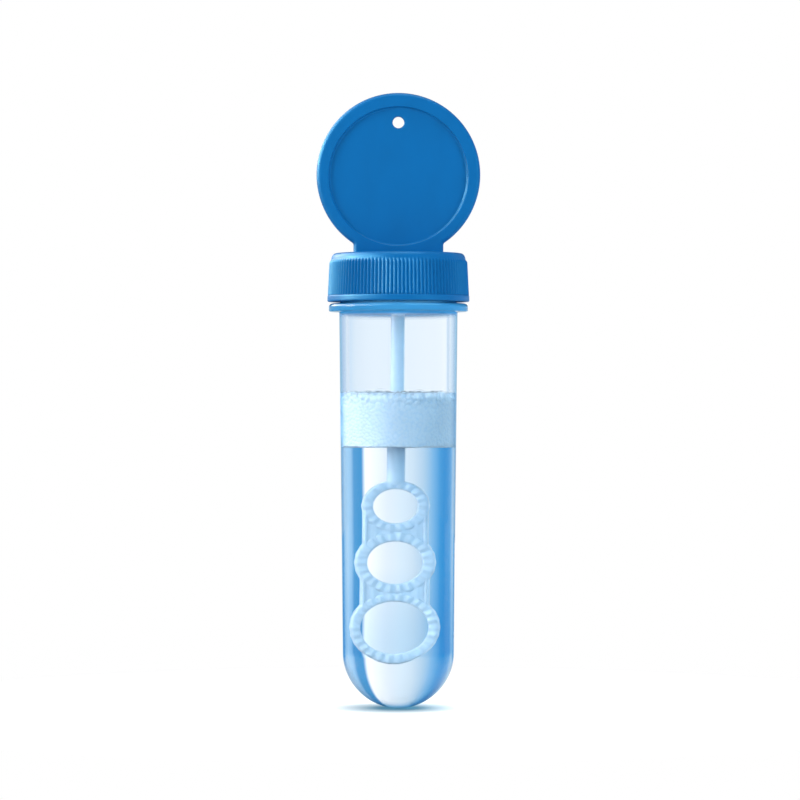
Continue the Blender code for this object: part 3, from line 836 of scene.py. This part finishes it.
def build_top_bubbles(tube, wand, contents):
    """The skins of the clear top bubbles, which show as fine outlines."""
    rng = np.random.default_rng(RANDOM_SEED + 2)
    wall = bore_at(tube, contents.foam_top) - 0.1 * MM
    stem = wand.stem_radius + 0.1 * MM
    within, spacing = 0.86, 0.9
    bubbles = []
    for x, y, radius, top in top_domes(tube, wand, contents):
        if math.hypot(x, y) + radius * within < wall:
            bubbles.append((x, y, top - radius - 0.1 * MM, radius * within))
    for _ in range(FINE_TRIES):
        radius = (0.3 + 0.75 * rng.random() ** 2) * MM
        x, y = spot_on_disc(wall - radius, rng)
        z = contents.foam_top - 0.9 * MM - radius - contents.body_drop * rng.random()
        if math.hypot(x, y) < stem + radius:
            continue
        if all(math.dist((x, y, z), centre) > spacing * (radius + r) for *centre, r in bubbles):
            bubbles.append((x, y, z, radius))
    bm = bmesh.new()
    for x, y, z, radius in bubbles:
        place = Matrix.Translation((x, y, z))
        bmesh.ops.create_icosphere(bm, subdivisions=3, radius=radius, matrix=place)
    mesh = mesh_from(bm, "foam_top_bubbles")
    mesh.materials.append(soap_film(contents.outline))
    mesh.shade_smooth()
    obj = link_object("foam_top_bubbles", mesh)
    obj.visible_shadow = False
    finish_piece(obj, "tube", "foam_head")


def foam_base(low, high, core, hole):
    """Radius, height and outward direction down the foam's core, from bottom over side to top."""
    edge = 0.9 * MM
    base = [(r, low, 0.0, -1.0) for r in between(hole, core - 0.3 * MM, 30)]
    base += [(core, z, 1.0, 0.0) for z in between(low + 0.15 * MM, high - edge, 130)]
    for out, up in arc(0.0, 0.0, 1.0, 0.0, 90.0, 8)[1:]:
        base.append((core - edge * (1.0 - out), high - edge * (1.0 - up), out, up))
    return base + [(r, high, 0.0, 1.0) for r in between(core - edge, hole, 70)[1:]]


def bubble_reach(tree, radii, place, normal, least):
    """The farthest and second farthest reach of the bubbles near a place, and which is first."""
    best, second, winner = least, least, None
    for centre, index, _ in tree.find_n(place, NEIGHBOURS):
        offset = centre - place
        along = offset.dot(normal)
        span = radii[index] ** 2 - (offset.length_squared - along * along)
        if span <= 0.0:
            continue
        reach = along + math.sqrt(span)
        if reach > best:
            best, second, winner = reach, best, index
        elif reach > second:
            second = reach
    return best, second, winner


def build_foam(tube, wand, contents):
    """The head of foam: one skin that bulges over every bubble packed under it."""
    rng = np.random.default_rng(RANDOM_SEED)
    low = contents.solution_top - 0.15 * MM
    high = contents.foam_top - contents.body_drop
    middle = bore_at(tube, (low + high) / 2.0)
    core = middle - 0.28 * MM
    hole = wand.stem_radius + 0.35 * MM
    flat_share, top_share, top_zone = 0.2, 0.75, 3.2 * MM
    sag, sag_zone = 0.2 * MM, 1.2 * MM
    least, crease_width = -0.12 * MM, 0.1 * MM

    centres, radii = side_bubbles(middle - 0.1 * MM, low, high - 0.3 * MM, contents, rng)
    top_centres, top_radii = heaped_bubbles(core - 0.2 * MM, high, contents, rng)
    centres, radii = centres + top_centres, radii + top_radii
    tree = kdtree.KDTree(len(centres))
    for index, centre in enumerate(centres):
        tree.insert(centre, index)
    tree.balance()

    loops, creases, larges = [], [], []
    for r, z, out, up in foam_base(low, high, core, hole):
        loop = np.zeros((FOAM_SEGMENTS, 3))
        share = float(smooth_step((z - high + top_zone) / top_zone))
        foot = max(0.0, 1.0 - (z - low) / sag_zone)
        for i in range(FOAM_SEGMENTS):
            angle = i * TURN / FOAM_SEGMENTS
            c, s = math.cos(angle), math.sin(angle)
            place = Vector((r * c, r * s, z))
            normal = Vector((out * c, out * s, up))
            best, second, winner = bubble_reach(tree, radii, place, normal, least)
            point = place + normal * best * (flat_share + (top_share - flat_share) * share)
            wave = sum(part * math.sin(waves * angle + phase) for waves, part, phase in FOOT_WAVES)
            point.z += sag * (wave / 2.0 - 0.4) * foot
            limit = bore_at(tube, point.z) - 0.04 * MM
            radial = math.hypot(point.x, point.y)
            if radial > limit:
                point.x *= limit / radial
                point.y *= limit / radial
            loop[i] = point
            bubble = contents.small_bubble if winner is None else radii[winner]
            # Painted shade: a share that is high where two bubbles meet, which darkens the foam in the
            # crease.
            creases.append(1.0 - float(smooth_step((best - second) / crease_width)))
            larges.append(float(smooth_step((bubble / contents.large_bubble - 0.35) / 0.5)))
        loops.append(loop)
    foam = wet_foam(contents.foam, contents.film)
    obj = new_piece("foam_bubbles", skin(loops, joined=True), foam, crease_deg=180.0)
    keep_numbers(obj, crease=creases, large=larges)
    finish_piece(obj, "tube", "foam_head")


# Wand


RING_WIDTHS = (1.85 * MM, 2.1 * MM, 1.85 * MM)
RING_HEIGHTS = (-41.0 * MM, -52.9 * MM, -66.6 * MM)
RING_SERRATIONS = (18, 22, 26)
WEB_WIDTHS = (10.6 * MM, 11.2 * MM)
COLLAR_TOP = 6.6 * MM
PEG_TOP = 10.8 * MM
BEAD_HEIGHT = 9.7 * MM


def serrated_ring(name, centre, bore, width, serrations, wand):
    """One ring, round in section, with grooves across both faces that hold the solution."""
    steps, section_steps, squareness = serrations * 10, 24, 0.55
    half_width, half_thickness = width / 2.0, wand.ring_thickness / 2.0
    section = []
    for step in range(section_steps):
        turn = TURN * step / section_steps
        c, s = math.cos(turn), math.sin(turn)
        across = half_width * math.copysign(abs(c) ** squareness, c)
        section.append((across, math.copysign(abs(s) ** squareness, s)))
    loops = []
    for step in range(steps):
        angle = TURN * step / steps
        groove = 0.5 - 0.5 * math.cos(serrations * angle)
        half = half_thickness - wand.serration * groove
        outer = 1.0 - 0.05 * groove
        loop = []
        for across, through in section:
            r = bore + half_width + across * (outer if across > 0.0 else 1.0)
            loop.append((r * math.cos(angle), half * through, centre + r * math.sin(angle)))
        loops.append(np.array(loop))
    return new_piece(name, skin(loops, joined=True))


def ridged_web(name, upper, lower, width):
    """The web between two rings: a thin sheet with an edge bead each side and upright ridges."""
    half = width / 2.0
    edge, floor, bead, ridge = 0.45 * MM, 0.6 * MM, 0.95 * MM, 0.85 * MM
    inner = half - 2.0 * edge
    ridges = 4
    pitch = 2.0 * inner / ridges

    def side_bead(centre, first, last):
        turns = np.linspace(first, last, 7)
        return [(centre - edge * math.cos(turn), bead * math.sin(turn)) for turn in turns]

    face = [(-half, 0.0)] + side_bead(-half + edge, 0.3, math.pi - 0.7)
    for x in np.linspace(-inner, inner, ridges * 8 + 1)[1:-1]:
        wave = 0.5 - 0.5 * math.cos(TURN * (x + inner) / pitch)
        face.append((x, floor + (ridge - floor) * wave**1.5))
    face += side_bead(half - edge, 0.7, math.pi - 0.3) + [(half, 0.0)]
    section = face + [(x, -y) for x, y in reversed(face[1:-1])]

    def end_height(ring_end, x, sign):
        centre, bore, ring_width = ring_end
        radius = bore + ring_width / 2.0
        return centre + sign * math.sqrt(radius**2 - min(x * x, 0.96 * radius**2))

    loops = []
    for share in between(0.0, 1.0, 6):
        loop = []
        for x, y in section:
            low = end_height(lower, x, 1.0)
            high = end_height(upper, x, -1.0)
            loop.append((x, y, low + (high - low) * share))
        loops.append(np.array(loop))
    points, faces = skin(loops)
    around = len(section)
    for first in (0, len(points) - around):
        for i in range(len(face) - 1):
            corners = (i, i + 1, (around - i - 1) % around, (around - i) % around)
            faces.append(tuple(dict.fromkeys(first + corner for corner in corners)))
    return new_piece(name, (points, faces))


def wand_stem(wand):
    """The stem, with the collar and bead that hold it in the cap's socket."""
    r = wand.stem_radius
    foot = RING_HEIGHTS[0] + wand.top_bore + RING_WIDTHS[0] / 2.0
    collar, bead = 2.5 * MM, 0.3 * MM
    profile = [(0.0, foot), (r * 0.8, foot), (r, foot + 0.4 * MM)]
    profile += [(r, z) for z in between(foot + 1.0 * MM, COLLAR_TOP - 2.0 * MM, 12)]
    profile += arc(r + 0.5 * MM, COLLAR_TOP - 1.3 * MM, 0.5 * MM, 180.0, 90.0, 4)
    profile += arc(collar - 0.25 * MM, COLLAR_TOP - 0.55 * MM, 0.25 * MM, -90.0, 0.0, 4)
    profile += arc(collar - 0.25 * MM, COLLAR_TOP - 0.25 * MM, 0.25 * MM, 0.0, 90.0, 4)
    profile += [(r, COLLAR_TOP), (r, BEAD_HEIGHT - 0.4 * MM)]
    profile += arc(r, BEAD_HEIGHT, bead, -70.0, 70.0, 6)
    profile += [(r, PEG_TOP - 0.3 * MM), (r - 0.3 * MM, PEG_TOP), (0.0, PEG_TOP)]
    return new_piece("wand_moulding", skin(lathe(profile, 48)), frosted_polypropylene(wand.plastic))


def build_wand(wand):
    """Stem, rings and webs as one moulding, which hangs a little out of plumb."""
    bores = (wand.top_bore, wand.middle_bore, wand.bottom_bore)
    rings = list(zip(RING_HEIGHTS, bores, RING_WIDTHS))
    stem = wand_stem(wand)
    tools = [serrated_ring(f"ring_{i}", *rings[i], RING_SERRATIONS[i], wand) for i in range(3)]
    tools += [ridged_web(f"web_{i}", rings[i], rings[i + 1], WEB_WIDTHS[i]) for i in range(2)]
    merge(stem, tools)
    for vertex in stem.data.vertices:
        vertex.co.x += (vertex.co.z - PEG_TOP) * math.tan(wand.lean)
    finish_piece(stem, "wand", "wand")


# Liner


def build_liner(liner):
    """The washer, with edges a little rounded by the die."""
    soft = 0.18 * MM
    low, high = liner.bottom, liner.bottom + liner.thickness
    inner, outer = liner.inner_radius, liner.outer_radius
    profile = arc(outer - soft, low + soft, soft, -90.0, 0.0, 4)
    profile += arc(outer - soft, high - soft, soft, 0.0, 90.0, 4)
    profile += [(r, high) for r in between(outer - 1.0 * MM, inner + 1.0 * MM, 8)]
    profile += arc(inner + soft, high - soft, soft, 90.0, 180.0, 4)
    profile += arc(inner + soft, low + soft, soft, 180.0, 270.0, 4)
    profile += [(r, low) for r in between(inner + 1.0 * MM, outer - 1.0 * MM, 8)]
    obj = new_piece("liner_washer", skin(lathe(profile, 128), joined=True), foam_sheet(liner.sheet))
    finish_piece(obj, "sealing_liner", "sealing_liner")


# Cap and paddle


POINTS_PER_RIB = 6
PADDLE_SINK = 0.7 * MM
TAB_EMBED = 0.6 * MM
HOLE_RISE = 11.1 * MM


def cap_shell(tube, cap):
    """The cap: plain band, ribs, shoulder, and inside the thread and the wand's socket."""
    segments = cap.ribs * POINTS_PER_RIB
    band_top = cap.bottom + 1.3 * MM
    shoulder, shoulder_height = 1.0 * MM, 1.5 * MM
    rib_top = cap.top - 1.4 * MM
    draft = 0.5 * MM

    def valley(height):
        share = (height - cap.bottom) / (cap.top - cap.bottom)
        return cap.radius - cap.rib_height - draft * share

    def ribs(angles, height):
        fade = smooth_step((rib_top + 0.1 * MM - height) / (0.55 * MM))
        wave = 0.5 + 0.5 * np.cos(cap.ribs * angles)
        return cap.rib_height * wave**0.8 * fade

    crest = tube.neck_radius + THREAD_RADIAL_GAP
    depth = cap.bore - crest
    slope = (THREAD_ROOT - THREAD_CREST) / 2.0 / tube.thread_depth
    neck_half = THREAD_ROOT / 2.0 - slope * THREAD_RADIAL_GAP
    lower = neck_half + THREAD_CREST / 2.0 + THREAD_FLANK_GAP
    chamfer = 0.3 * MM
    start = tube.flange_thickness + THREAD_START_GAP + THREAD_ROOT / 2.0
    first_turn = (cap.bottom + chamfer + THREAD_ROOT / 2.0 + lower - start) / tube.thread_lead

    def thread(angles, height):
        return -thread_rise(tube, depth, angles, height, first_turn, lower)

    edge = 0.22 * MM
    loops = []

    def add(profile, swell=None):
        loops.extend(lathe(profile, segments, swell))

    socket, groove, boss = 1.75 * MM, 2.05 * MM, 2.95 * MM
    boss_bottom = 6.9 * MM
    add([(0.0, cap.ceiling), (socket * 0.5, cap.ceiling), (socket, cap.ceiling)])
    add([(socket, z) for z in between(cap.ceiling - 0.3 * MM, BEAD_HEIGHT + 0.7 * MM, 2)])
    add([(groove, BEAD_HEIGHT + 0.2 * MM), (groove, BEAD_HEIGHT - 0.2 * MM)])
    add([(socket, BEAD_HEIGHT - 0.7 * MM), (socket, boss_bottom + 0.2 * MM)])
    add(arc(socket + 0.2 * MM, boss_bottom + 0.2 * MM, 0.2 * MM, 180.0, 270.0, 3)[1:])
    add(arc(boss - 0.2 * MM, boss_bottom + 0.2 * MM, 0.2 * MM, -90.0, 0.0, 3))
    add(arc(boss + 0.3 * MM, cap.ceiling - 0.3 * MM, 0.3 * MM, 180.0, 90.0, 4))
    add(arc(cap.bore - 0.4 * MM, cap.ceiling - 0.4 * MM, 0.4 * MM, 90.0, 0.0, 4))
    add([(cap.bore, z) for z in between(cap.ceiling - 0.5 * MM, cap.bottom + chamfer, 52)], thread)
    add(arc(cap.bore + chamfer + 0.1 * MM, cap.bottom + 0.1 * MM, 0.1 * MM, 225.0, 270.0, 1))
    add(arc(cap.radius - edge, cap.bottom + edge, edge, -90.0, 0.0, 5))
    add([(cap.radius, z) for z in between(cap.bottom + 2.0 * edge, band_top - edge, 4)])
    add(arc(cap.radius - edge, band_top - edge, edge, 0.0, 80.0, 4)[1:])
    add([(valley(z), z) for z in between(band_top + 0.05 * MM, rib_top, 26)], ribs)
    for across, up in arc(0.0, 0.0, 1.0, 6.0, 90.0, 10):
        add([(valley(rib_top) - shoulder * (1.0 - across), cap.top - shoulder_height * (1.0 - up))])
    add([(cap.radius * share, cap.top) for share in (0.87, 0.6, 0.3, 0.0)])
    return skin(loops)


def paddle_outline(cap, centre, foot, inset, steps=72):
    """Loop of (x, z) points round the paddle and its tab, drawn in by an inset."""
    fillet = 0.8 * MM
    half = cap.tab_width / 2.0
    reach = cap.paddle_radius + fillet
    fillet_z = centre - math.sqrt(reach**2 - (half + fillet) ** 2)
    meet_deg = math.degrees(math.atan2(centre - fillet_z, -(half + fillet)))
    right = [(half - inset, foot)]
    right += arc(half + fillet, fillet_z, fillet + inset, 180.0, meet_deg, 6)
    start_deg = meet_deg - 180.0
    right += arc(0.0, centre, cap.paddle_radius - inset, start_deg, 90.0, steps)[1:]
    left = [(-x, z) for x, z in reversed(right[:-1])]
    return right + left


def paddle(cap):
    """Round paddle with a rounded rim, a recess in both faces and the lanyard hole."""
    centre = cap.top - PADDLE_SINK + cap.paddle_radius
    foot = cap.top - TAB_EMBED
    recess_z = centre - cap.recess_drop
    hole_z = centre + HOLE_RISE
    half = cap.paddle_thickness / 2.0
    web = half - cap.recess_depth
    rim_round, lip_round, cove, flare = 0.9 * MM, 0.22 * MM, 0.42 * MM, 0.3 * MM
    bm = bmesh.new()

    def loop_of(outline, y):
        return [bm.verts.new((x, y, z)) for x, z in outline]

    def bridge(low, high):
        for i in range(len(low)):
            j = (i + 1) % len(low)
            bm.faces.new((low[i], low[j], high[j], high[i]))

    def circle(radius, z, steps):
        return [(x, z + dz) for x, dz in arc(0.0, 0.0, radius, 0.0, 360.0, steps)[:-1]]

    def fill(outer, inner, facing):
        edges = []
        for loop in (outer, inner):
            for i in range(len(loop)):
                pair = (loop[i], loop[(i + 1) % len(loop)])
                edges.append(bm.edges.get(pair) or bm.edges.new(pair))
        bmesh.ops.triangle_fill(bm, use_beauty=True, edges=edges, normal=(0.0, facing, 0.0))

    rim = []
    for across, through in arc(0.0, 0.0, 1.0, 90.0, 0.0, 8):
        rim.append((rim_round * (1.0 - across), half - rim_round + rim_round * through))
    rows = [(rim_round + 0.12 * MM, -half)] + [(inset, -y) for inset, y in rim]
    rows += [(inset, y) for inset, y in reversed(rim)] + [(rim_round + 0.12 * MM, half)]
    outlines = [loop_of(paddle_outline(cap, centre, foot, inset), y) for inset, y in rows]
    for low, high in zip(outlines, outlines[1:]):
        bridge(low, high)

    holes = []
    for facing, rim_face in ((-1.0, outlines[0]), (1.0, outlines[-1])):
        wall = [(cap.recess_radius + lip_round + 0.1 * MM, half)]
        wall += arc(cap.recess_radius + lip_round, half - lip_round, lip_round, 90.0, 180.0, 4)
        wall += arc(cap.recess_radius - cove, web + cove, cove, 0.0, -90.0, 6)
        wall.append((cap.recess_radius - cove - 0.12 * MM, web))
        loops = [loop_of(circle(r, recess_z, 144), facing * y) for r, y in wall]
        for low, high in zip(loops, loops[1:]):
            bridge(low, high)
        fill(rim_face, loops[0], facing)
        mouth = [(cap.hole_radius + flare + 0.1 * MM, web)]
        mouth += arc(cap.hole_radius + flare, web - flare, flare, 90.0, 180.0, 5)
        hole = [loop_of(circle(r, hole_z, 48), facing * y) for r, y in mouth]
        for low, high in zip(hole, hole[1:]):
            bridge(low, high)
        fill(loops[-1], hole[0], facing)
        holes.append(hole[-1])
    bridge(*holes)
    bmesh.ops.recalc_face_normals(bm, faces=bm.faces)
    return link_object("paddle", mesh_from(bm, "paddle"))


def build_cap(tube, cap):
    """Cap and paddle, joined as the one moulding they are."""
    obj = new_piece("cap_moulding", cap_shell(tube, cap), coloured_polypropylene(cap.plastic))
    merge(obj, [paddle(cap)], crease_deg=38.0)
    finish_piece(obj, "screw_cap", "screw_cap")


# Stage


# Bearing from the tube's back, in degrees, and colour of each stop of the studio's pattern.
CARDS = (
    (-75.0, "#B5D1E3"),
    (-66.0, "#77B0D8"),
    (-58.0, "#D4E0E7"),
    (-51.0, "#DFE2E5"),
    (-45.0, "#84B6D9"),
    (-41.0, "#4194C9"),
    (-36.0, "#1283C1"),
    (-30.0, "#0D81C0"),
    (-25.0, "#4191C7"),
    (-19.0, "#78ADD3"),
    (-13.0, "#AAC5D8"),
    (-7.0, "#C8D6E0"),
    (-1.5, "#D3DFE7"),
    (5.0, "#DEE3E8"),
    (12.0, "#F0F0F1"),
    (17.5, "#FFFFFF"),
    (20.5, "#3E8DC0"),
    (28.0, "#3B8DC1"),
    (32.0, "#8CBADB"),
    (38.0, "#95C1E0"),
    (45.0, "#A0C8E2"),
)
CARD_PERIOD = 120.0
CARD_STRENGTH = 1.3
# The pale paper covers the cards for rays that have come through that many clear surfaces.
PALE_PAPER = "#DDE2E6"
PALE_SHARE = 0.65
PALE_FROM_SURFACES = (4.4, 5.6)
PLAIN_LIGHT = 0.58
# Directions between which the bright box and the level strip fade in, as parts of one.
BOX_LEFT = (-0.7, -0.35)
BOX_ABOVE = (0.08, 0.22)
BOX_STRENGTH = 10.0
STRIP_COLOUR = "#CBE6F8"
STRIP_EDGE = (0.05, 0.09)
STRIP_STRENGTH = 0.8
DIM = 0.05
AIM = (0.0, 0.0, -0.015)
# Name, place in metres, width, watts, colour, and whether it gives highlights and plain light.
LAMPS = (
    ("key_left", (-0.63, -0.45, 0.27), 0.35, 3.1, "#FFFFFF", True, True),
    ("top_soft", (0.05, -0.1, 0.75), 0.5, 2.6, "#FFFFFF", True, True),
    ("side_left", (-0.78, -0.04, 0.19), 0.25, 7.0, "#FFFFFF", True, False),
    ("fill_right", (0.62, -0.56, 0.05), 0.5, 4.6, "#CBF1FF", False, True),
    ("back_right", (0.5, 0.62, 0.25), 0.5, 3.4, "#FFFFFF", False, True),
    ("back_left", (-0.5, 0.62, 0.25), 0.5, 3.0, "#FFFFFF", False, True),
)


def split(tree, vector):
    """The three numbers of a vector."""
    return add_node(tree, "ShaderNodeSeparateXYZ", {0: vector}).outputs


def source(tree, kind, rgb, strength):
    """Light from a surface or from the world."""
    return add_node(tree, kind, {"Color": rgb, "Strength": strength}).outputs[0]


def gradient_colour(tree, vector):
    """Colour of the studio by its bearing from the tube: white paper with blue cards between.

    The cards come round three times, so that the tube looks much the same from three sides.
    """
    x, y, _ = split(tree, vector)
    bearing = maths(tree, "ARCTAN2", x, y)
    (first_deg, first_code), *others = CARDS
    start = math.radians(first_deg)
    share = remap(tree, bearing, 0.0, 1.0, start, start + math.radians(CARD_PERIOD), clamp=False)
    ramp = add_node(tree, "ShaderNodeValToRGB", {0: maths(tree, "FLOORED_MODULO", share, 1.0)})
    elements = ramp.color_ramp.elements
    elements.remove(elements[1])
    elements[0].color = (*linear(first_code), 1.0)
    for degrees, code in others:
        elements.new((degrees - first_deg) / CARD_PERIOD).color = (*linear(code), 1.0)
    return ramp.outputs[0]


def studio_world():
    """White to the camera, plain soft light on the object, cards seen only in clear pieces.

    Rays that have come through many walls, as in the tube's empty part, see pale paper over the
    cards. A glossy surface mirrors a dim room with a level strip of sky blue and, above on the
    left, a bright box.
    """
    world = bpy.data.worlds.new("studio")
    bpy.context.scene.world = world
    tree = empty_tree(world)
    background = "ShaderNodeBackground"
    direction = add_node(tree, "ShaderNodeTexCoord").outputs["Generated"]
    path = add_node(tree, "ShaderNodeLightPath").outputs
    x, _, z = split(tree, direction)

    over = remap(tree, path["Transmission Depth"], PALE_SHARE, 0.0, *PALE_FROM_SURFACES)
    seen = blend_colours(tree, over, gradient_colour(tree, direction), linear(PALE_PAPER))
    cards = source(tree, background, seen, CARD_STRENGTH)

    left, above = remap(tree, x, 1.0, 0.0, *BOX_LEFT), remap(tree, z, 0.0, 1.0, *BOX_ABOVE)
    box = maths(tree, "MULTIPLY", maths(tree, "MULTIPLY", left, above), BOX_STRENGTH)
    strip = remap(tree, maths(tree, "ABSOLUTE", z), 1.0, 0.0, *STRIP_EDGE)
    strength = maths(tree, "MAXIMUM", remap(tree, strip, DIM, STRIP_STRENGTH), box)
    tint = blend_colours(tree, strip, WHITE, linear(STRIP_COLOUR))
    mirrored = source(tree, background, tint, strength)

    plain = source(tree, background, WHITE, PLAIN_LIGHT)
    lit = mix_shaders(tree, path["Is Glossy Ray"], plain, mirrored)
    lit = mix_shaders(tree, path["Is Transmission Ray"], lit, cards)
    white = source(tree, background, WHITE, 1.0)
    end_with(tree, mix_shaders(tree, path["Is Camera Ray"], lit, white), "ShaderNodeOutputWorld")


def sweep_paper(stage):
    """Matte white paper, white everywhere but for the object's shadow. Close under the object a
    painted contact shadow darkens it: ambient occlusion blends it towards a blue-grey.

    In clear and glossy pieces the paper farther off shows the same cards as the world.
    """
    material, tree = new_material("matte_paper_sweep")
    emission = "ShaderNodeEmission"
    path = add_node(tree, "ShaderNodeLightPath").outputs
    tint = mottle(tree, noise(tree, 1.5, 4.0), stage.paper, scaled(stage.paper, 0.985))
    # Painted shadow: ambient occlusion close under the object blends the paper towards a blue-grey,
    # and the camera-only glow fades there too.
    near = add_node(tree, "ShaderNodeAmbientOcclusion", {"Distance": 8.0 * MM}, samples=16)
    near = remap(tree, near.outputs["AO"], 0.0, 1.0, 0.16, 1.0)
    painted_shadow = blend_colours(tree, near, linear("#3F7389"), tint)
    sockets = {"Color": painted_shadow, "Roughness": 0.6}
    paper = add_node(tree, "ShaderNodeBsdfDiffuse", sockets).outputs[0]
    glow = source(tree, emission, linear("#F6FCFF"), remap(tree, near, 0.03, 0.32))
    nothing = source(tree, emission, WHITE, 0.0)
    lift = mix_shaders(tree, path["Is Camera Ray"], nothing, glow)
    lit = add_node(tree, "ShaderNodeAddShader", {0: paper, 1: lift}).outputs[0]

    place = add_node(tree, "ShaderNodeNewGeometry").outputs["Position"]
    x, y, _ = split(tree, place)
    flat = add_node(tree, "ShaderNodeCombineXYZ", {0: x, 1: y}).outputs[0]
    away = add_node(tree, "ShaderNodeVectorMath", {0: flat}, operation="LENGTH").outputs["Value"]
    far = remap(tree, away, 0.0, 1.0, 40.0 * MM, 120.0 * MM)
    depth = mottle(tree, away, linear("#DFEFF9"), WHITE, 250.0 * MM, 850.0 * MM)
    sockets = {0: gradient_colour(tree, place), 1: depth}
    seen = add_node(tree, "ShaderNodeVectorMath", sockets, operation="MULTIPLY").outputs[0]
    cards = source(tree, emission, seen, CARD_STRENGTH)
    through = maths(tree, "MAXIMUM", path["Is Transmission Ray"], path["Is Glossy Ray"])
    mixed = mix_shaders(tree, maths(tree, "MULTIPLY", far, through), lit, cards)
    white = source(tree, emission, WHITE, 1.0)
    edge = maths(tree, "MULTIPLY", far, path["Is Camera Ray"])
    end_with(tree, mix_shaders(tree, edge, mixed, white))
    return material


def add_lamp(name, place, width, watts, code, gloss, diffuse):
    """A soft square lamp aimed at the object, for its highlight, its plain light or both.

    The camera and clear pieces don't see it.
    """
    data = bpy.data.lights.new(name, "AREA")
    data.shape = "SQUARE"
    data.size = width
    data.energy = watts
    data.color = linear(code)
    lamp = link_object(name, data)
    lamp.location = place
    lamp.rotation_euler = (Vector(AIM) - Vector(place)).to_track_quat("-Z", "Y").to_euler()
    lamp.visible_transmission = False
    lamp.visible_camera = False
    lamp.visible_glossy = gloss
    lamp.visible_diffuse = diffuse


def build_stage(tube, stage):
    """Floor, lamps, world and the level camera of the photograph."""
    bm = bmesh.new()
    bmesh.ops.create_circle(bm, cap_ends=True, segments=96, radius=stage.floor_radius)
    mesh = mesh_from(bm, "paper_floor")
    mesh.materials.append(sweep_paper(stage))
    floor = link_object("paper_floor", mesh)
    floor.location = (0.0, 0.0, -tube.drop)
    for lamp in LAMPS:
        add_lamp(*lamp)
    studio_world()

    scene = bpy.context.scene
    scene.view_settings.view_transform = "Standard"
    data = bpy.data.cameras.new("camera")
    data.sensor_width = 36.0
    data.lens = data.sensor_width / 2.0 / math.tan(stage.field_of_view / 2.0)
    data.clip_start = 0.01
    camera = link_object("camera", data)
    camera.location = (stage.camera_side, -stage.camera_distance, stage.camera_height)
    camera.rotation_euler = (math.radians(90.0), 0.0, 0.0)
    scene.camera = camera


# Operators and panel


class BLOWER_OT_tube(bpy.types.Operator):
    """Builds the clear tube with its flange and threaded neck."""

    bl_idname = "bubble_blower.tube"
    bl_label = "Tube"

    def execute(self, context):
        build_tube(context.scene.bubble_blower.tube)
        return {"FINISHED"}


class BLOWER_OT_contents(bpy.types.Operator):
    """Fills the tube with bubble solution and its head of foam."""

    bl_idname = "bubble_blower.contents"
    bl_label = "Solution and foam"

    def execute(self, context):
        settings = context.scene.bubble_blower
        build_solution(settings.tube, settings.contents)
        build_foam(settings.tube, settings.wand, settings.contents)
        build_wet_film(settings.tube, settings.wand, settings.contents)
        build_top_bubbles(settings.tube, settings.wand, settings.contents)
        return {"FINISHED"}


class BLOWER_OT_wand(bpy.types.Operator):
    """Builds the wand with its three serrated rings."""

    bl_idname = "bubble_blower.wand"
    bl_label = "Wand"

    def execute(self, context):
        build_wand(context.scene.bubble_blower.wand)
        return {"FINISHED"}


class BLOWER_OT_liner(bpy.types.Operator):
    """Cuts the sealing liner."""

    bl_idname = "bubble_blower.liner"
    bl_label = "Sealing liner"

    def execute(self, context):
        build_liner(context.scene.bubble_blower.liner)
        return {"FINISHED"}


class BLOWER_OT_cap(bpy.types.Operator):
    """Builds the ribbed screw cap and its paddle."""

    bl_idname = "bubble_blower.cap"
    bl_label = "Screw cap and paddle"

    def execute(self, context):
        settings = context.scene.bubble_blower
        build_cap(settings.tube, settings.cap)
        return {"FINISHED"}


class BLOWER_OT_stage(bpy.types.Operator):
    """Sets up the floor, the studio light and the camera."""

    bl_idname = "bubble_blower.stage"
    bl_label = "Stage"

    def execute(self, context):
        settings = context.scene.bubble_blower
        build_stage(settings.tube, settings.stage)
        return {"FINISHED"}


OPERATORS = (
    BLOWER_OT_tube,
    BLOWER_OT_contents,
    BLOWER_OT_wand,
    BLOWER_OT_liner,
    BLOWER_OT_cap,
    BLOWER_OT_stage,
)


class BLOWER_PT_panel(bpy.types.Panel):
    """Lists the pieces in the 3D view's sidebar."""

    bl_idname = "BLOWER_PT_panel"
    bl_label = "Bubble Blower"
    bl_space_type = "VIEW_3D"
    bl_region_type = "UI"
    bl_category = "Bubble Blower"

    def draw(self, context):
        for operator in OPERATORS:
            group = getattr(context.scene.bubble_blower, operator.bl_idname.split(".")[1])
            box = self.layout.box()
            box.operator(operator.bl_idname)
            for key in type(group).__annotations__:
                box.prop(group, key)


GROUPS = (
    TubeSettings,
    ContentsSettings,
    WandSettings,
    LinerSettings,
    CapSettings,
    StageSettings,
    BlowerSettings,
)
CLASSES = (*GROUPS, *OPERATORS, BLOWER_PT_panel)


def register():
    """Adds the classes and the scene's settings."""
    for cls in CLASSES:
        bpy.utils.register_class(cls)
    bpy.types.Scene.bubble_blower = bpy.props.PointerProperty(type=BlowerSettings)


def unregister():
    """Takes them away again."""
    del bpy.types.Scene.bubble_blower
    for cls in reversed(CLASSES):
        bpy.utils.unregister_class(cls)


def main():
    """Builds every piece and the stage."""
    register()
    bpy.ops.bubble_blower.tube()
    bpy.ops.bubble_blower.contents()
    bpy.ops.bubble_blower.wand()
    bpy.ops.bubble_blower.liner()
    bpy.ops.bubble_blower.cap()
    bpy.ops.bubble_blower.stage()


if __name__ == "__main__":
    main()
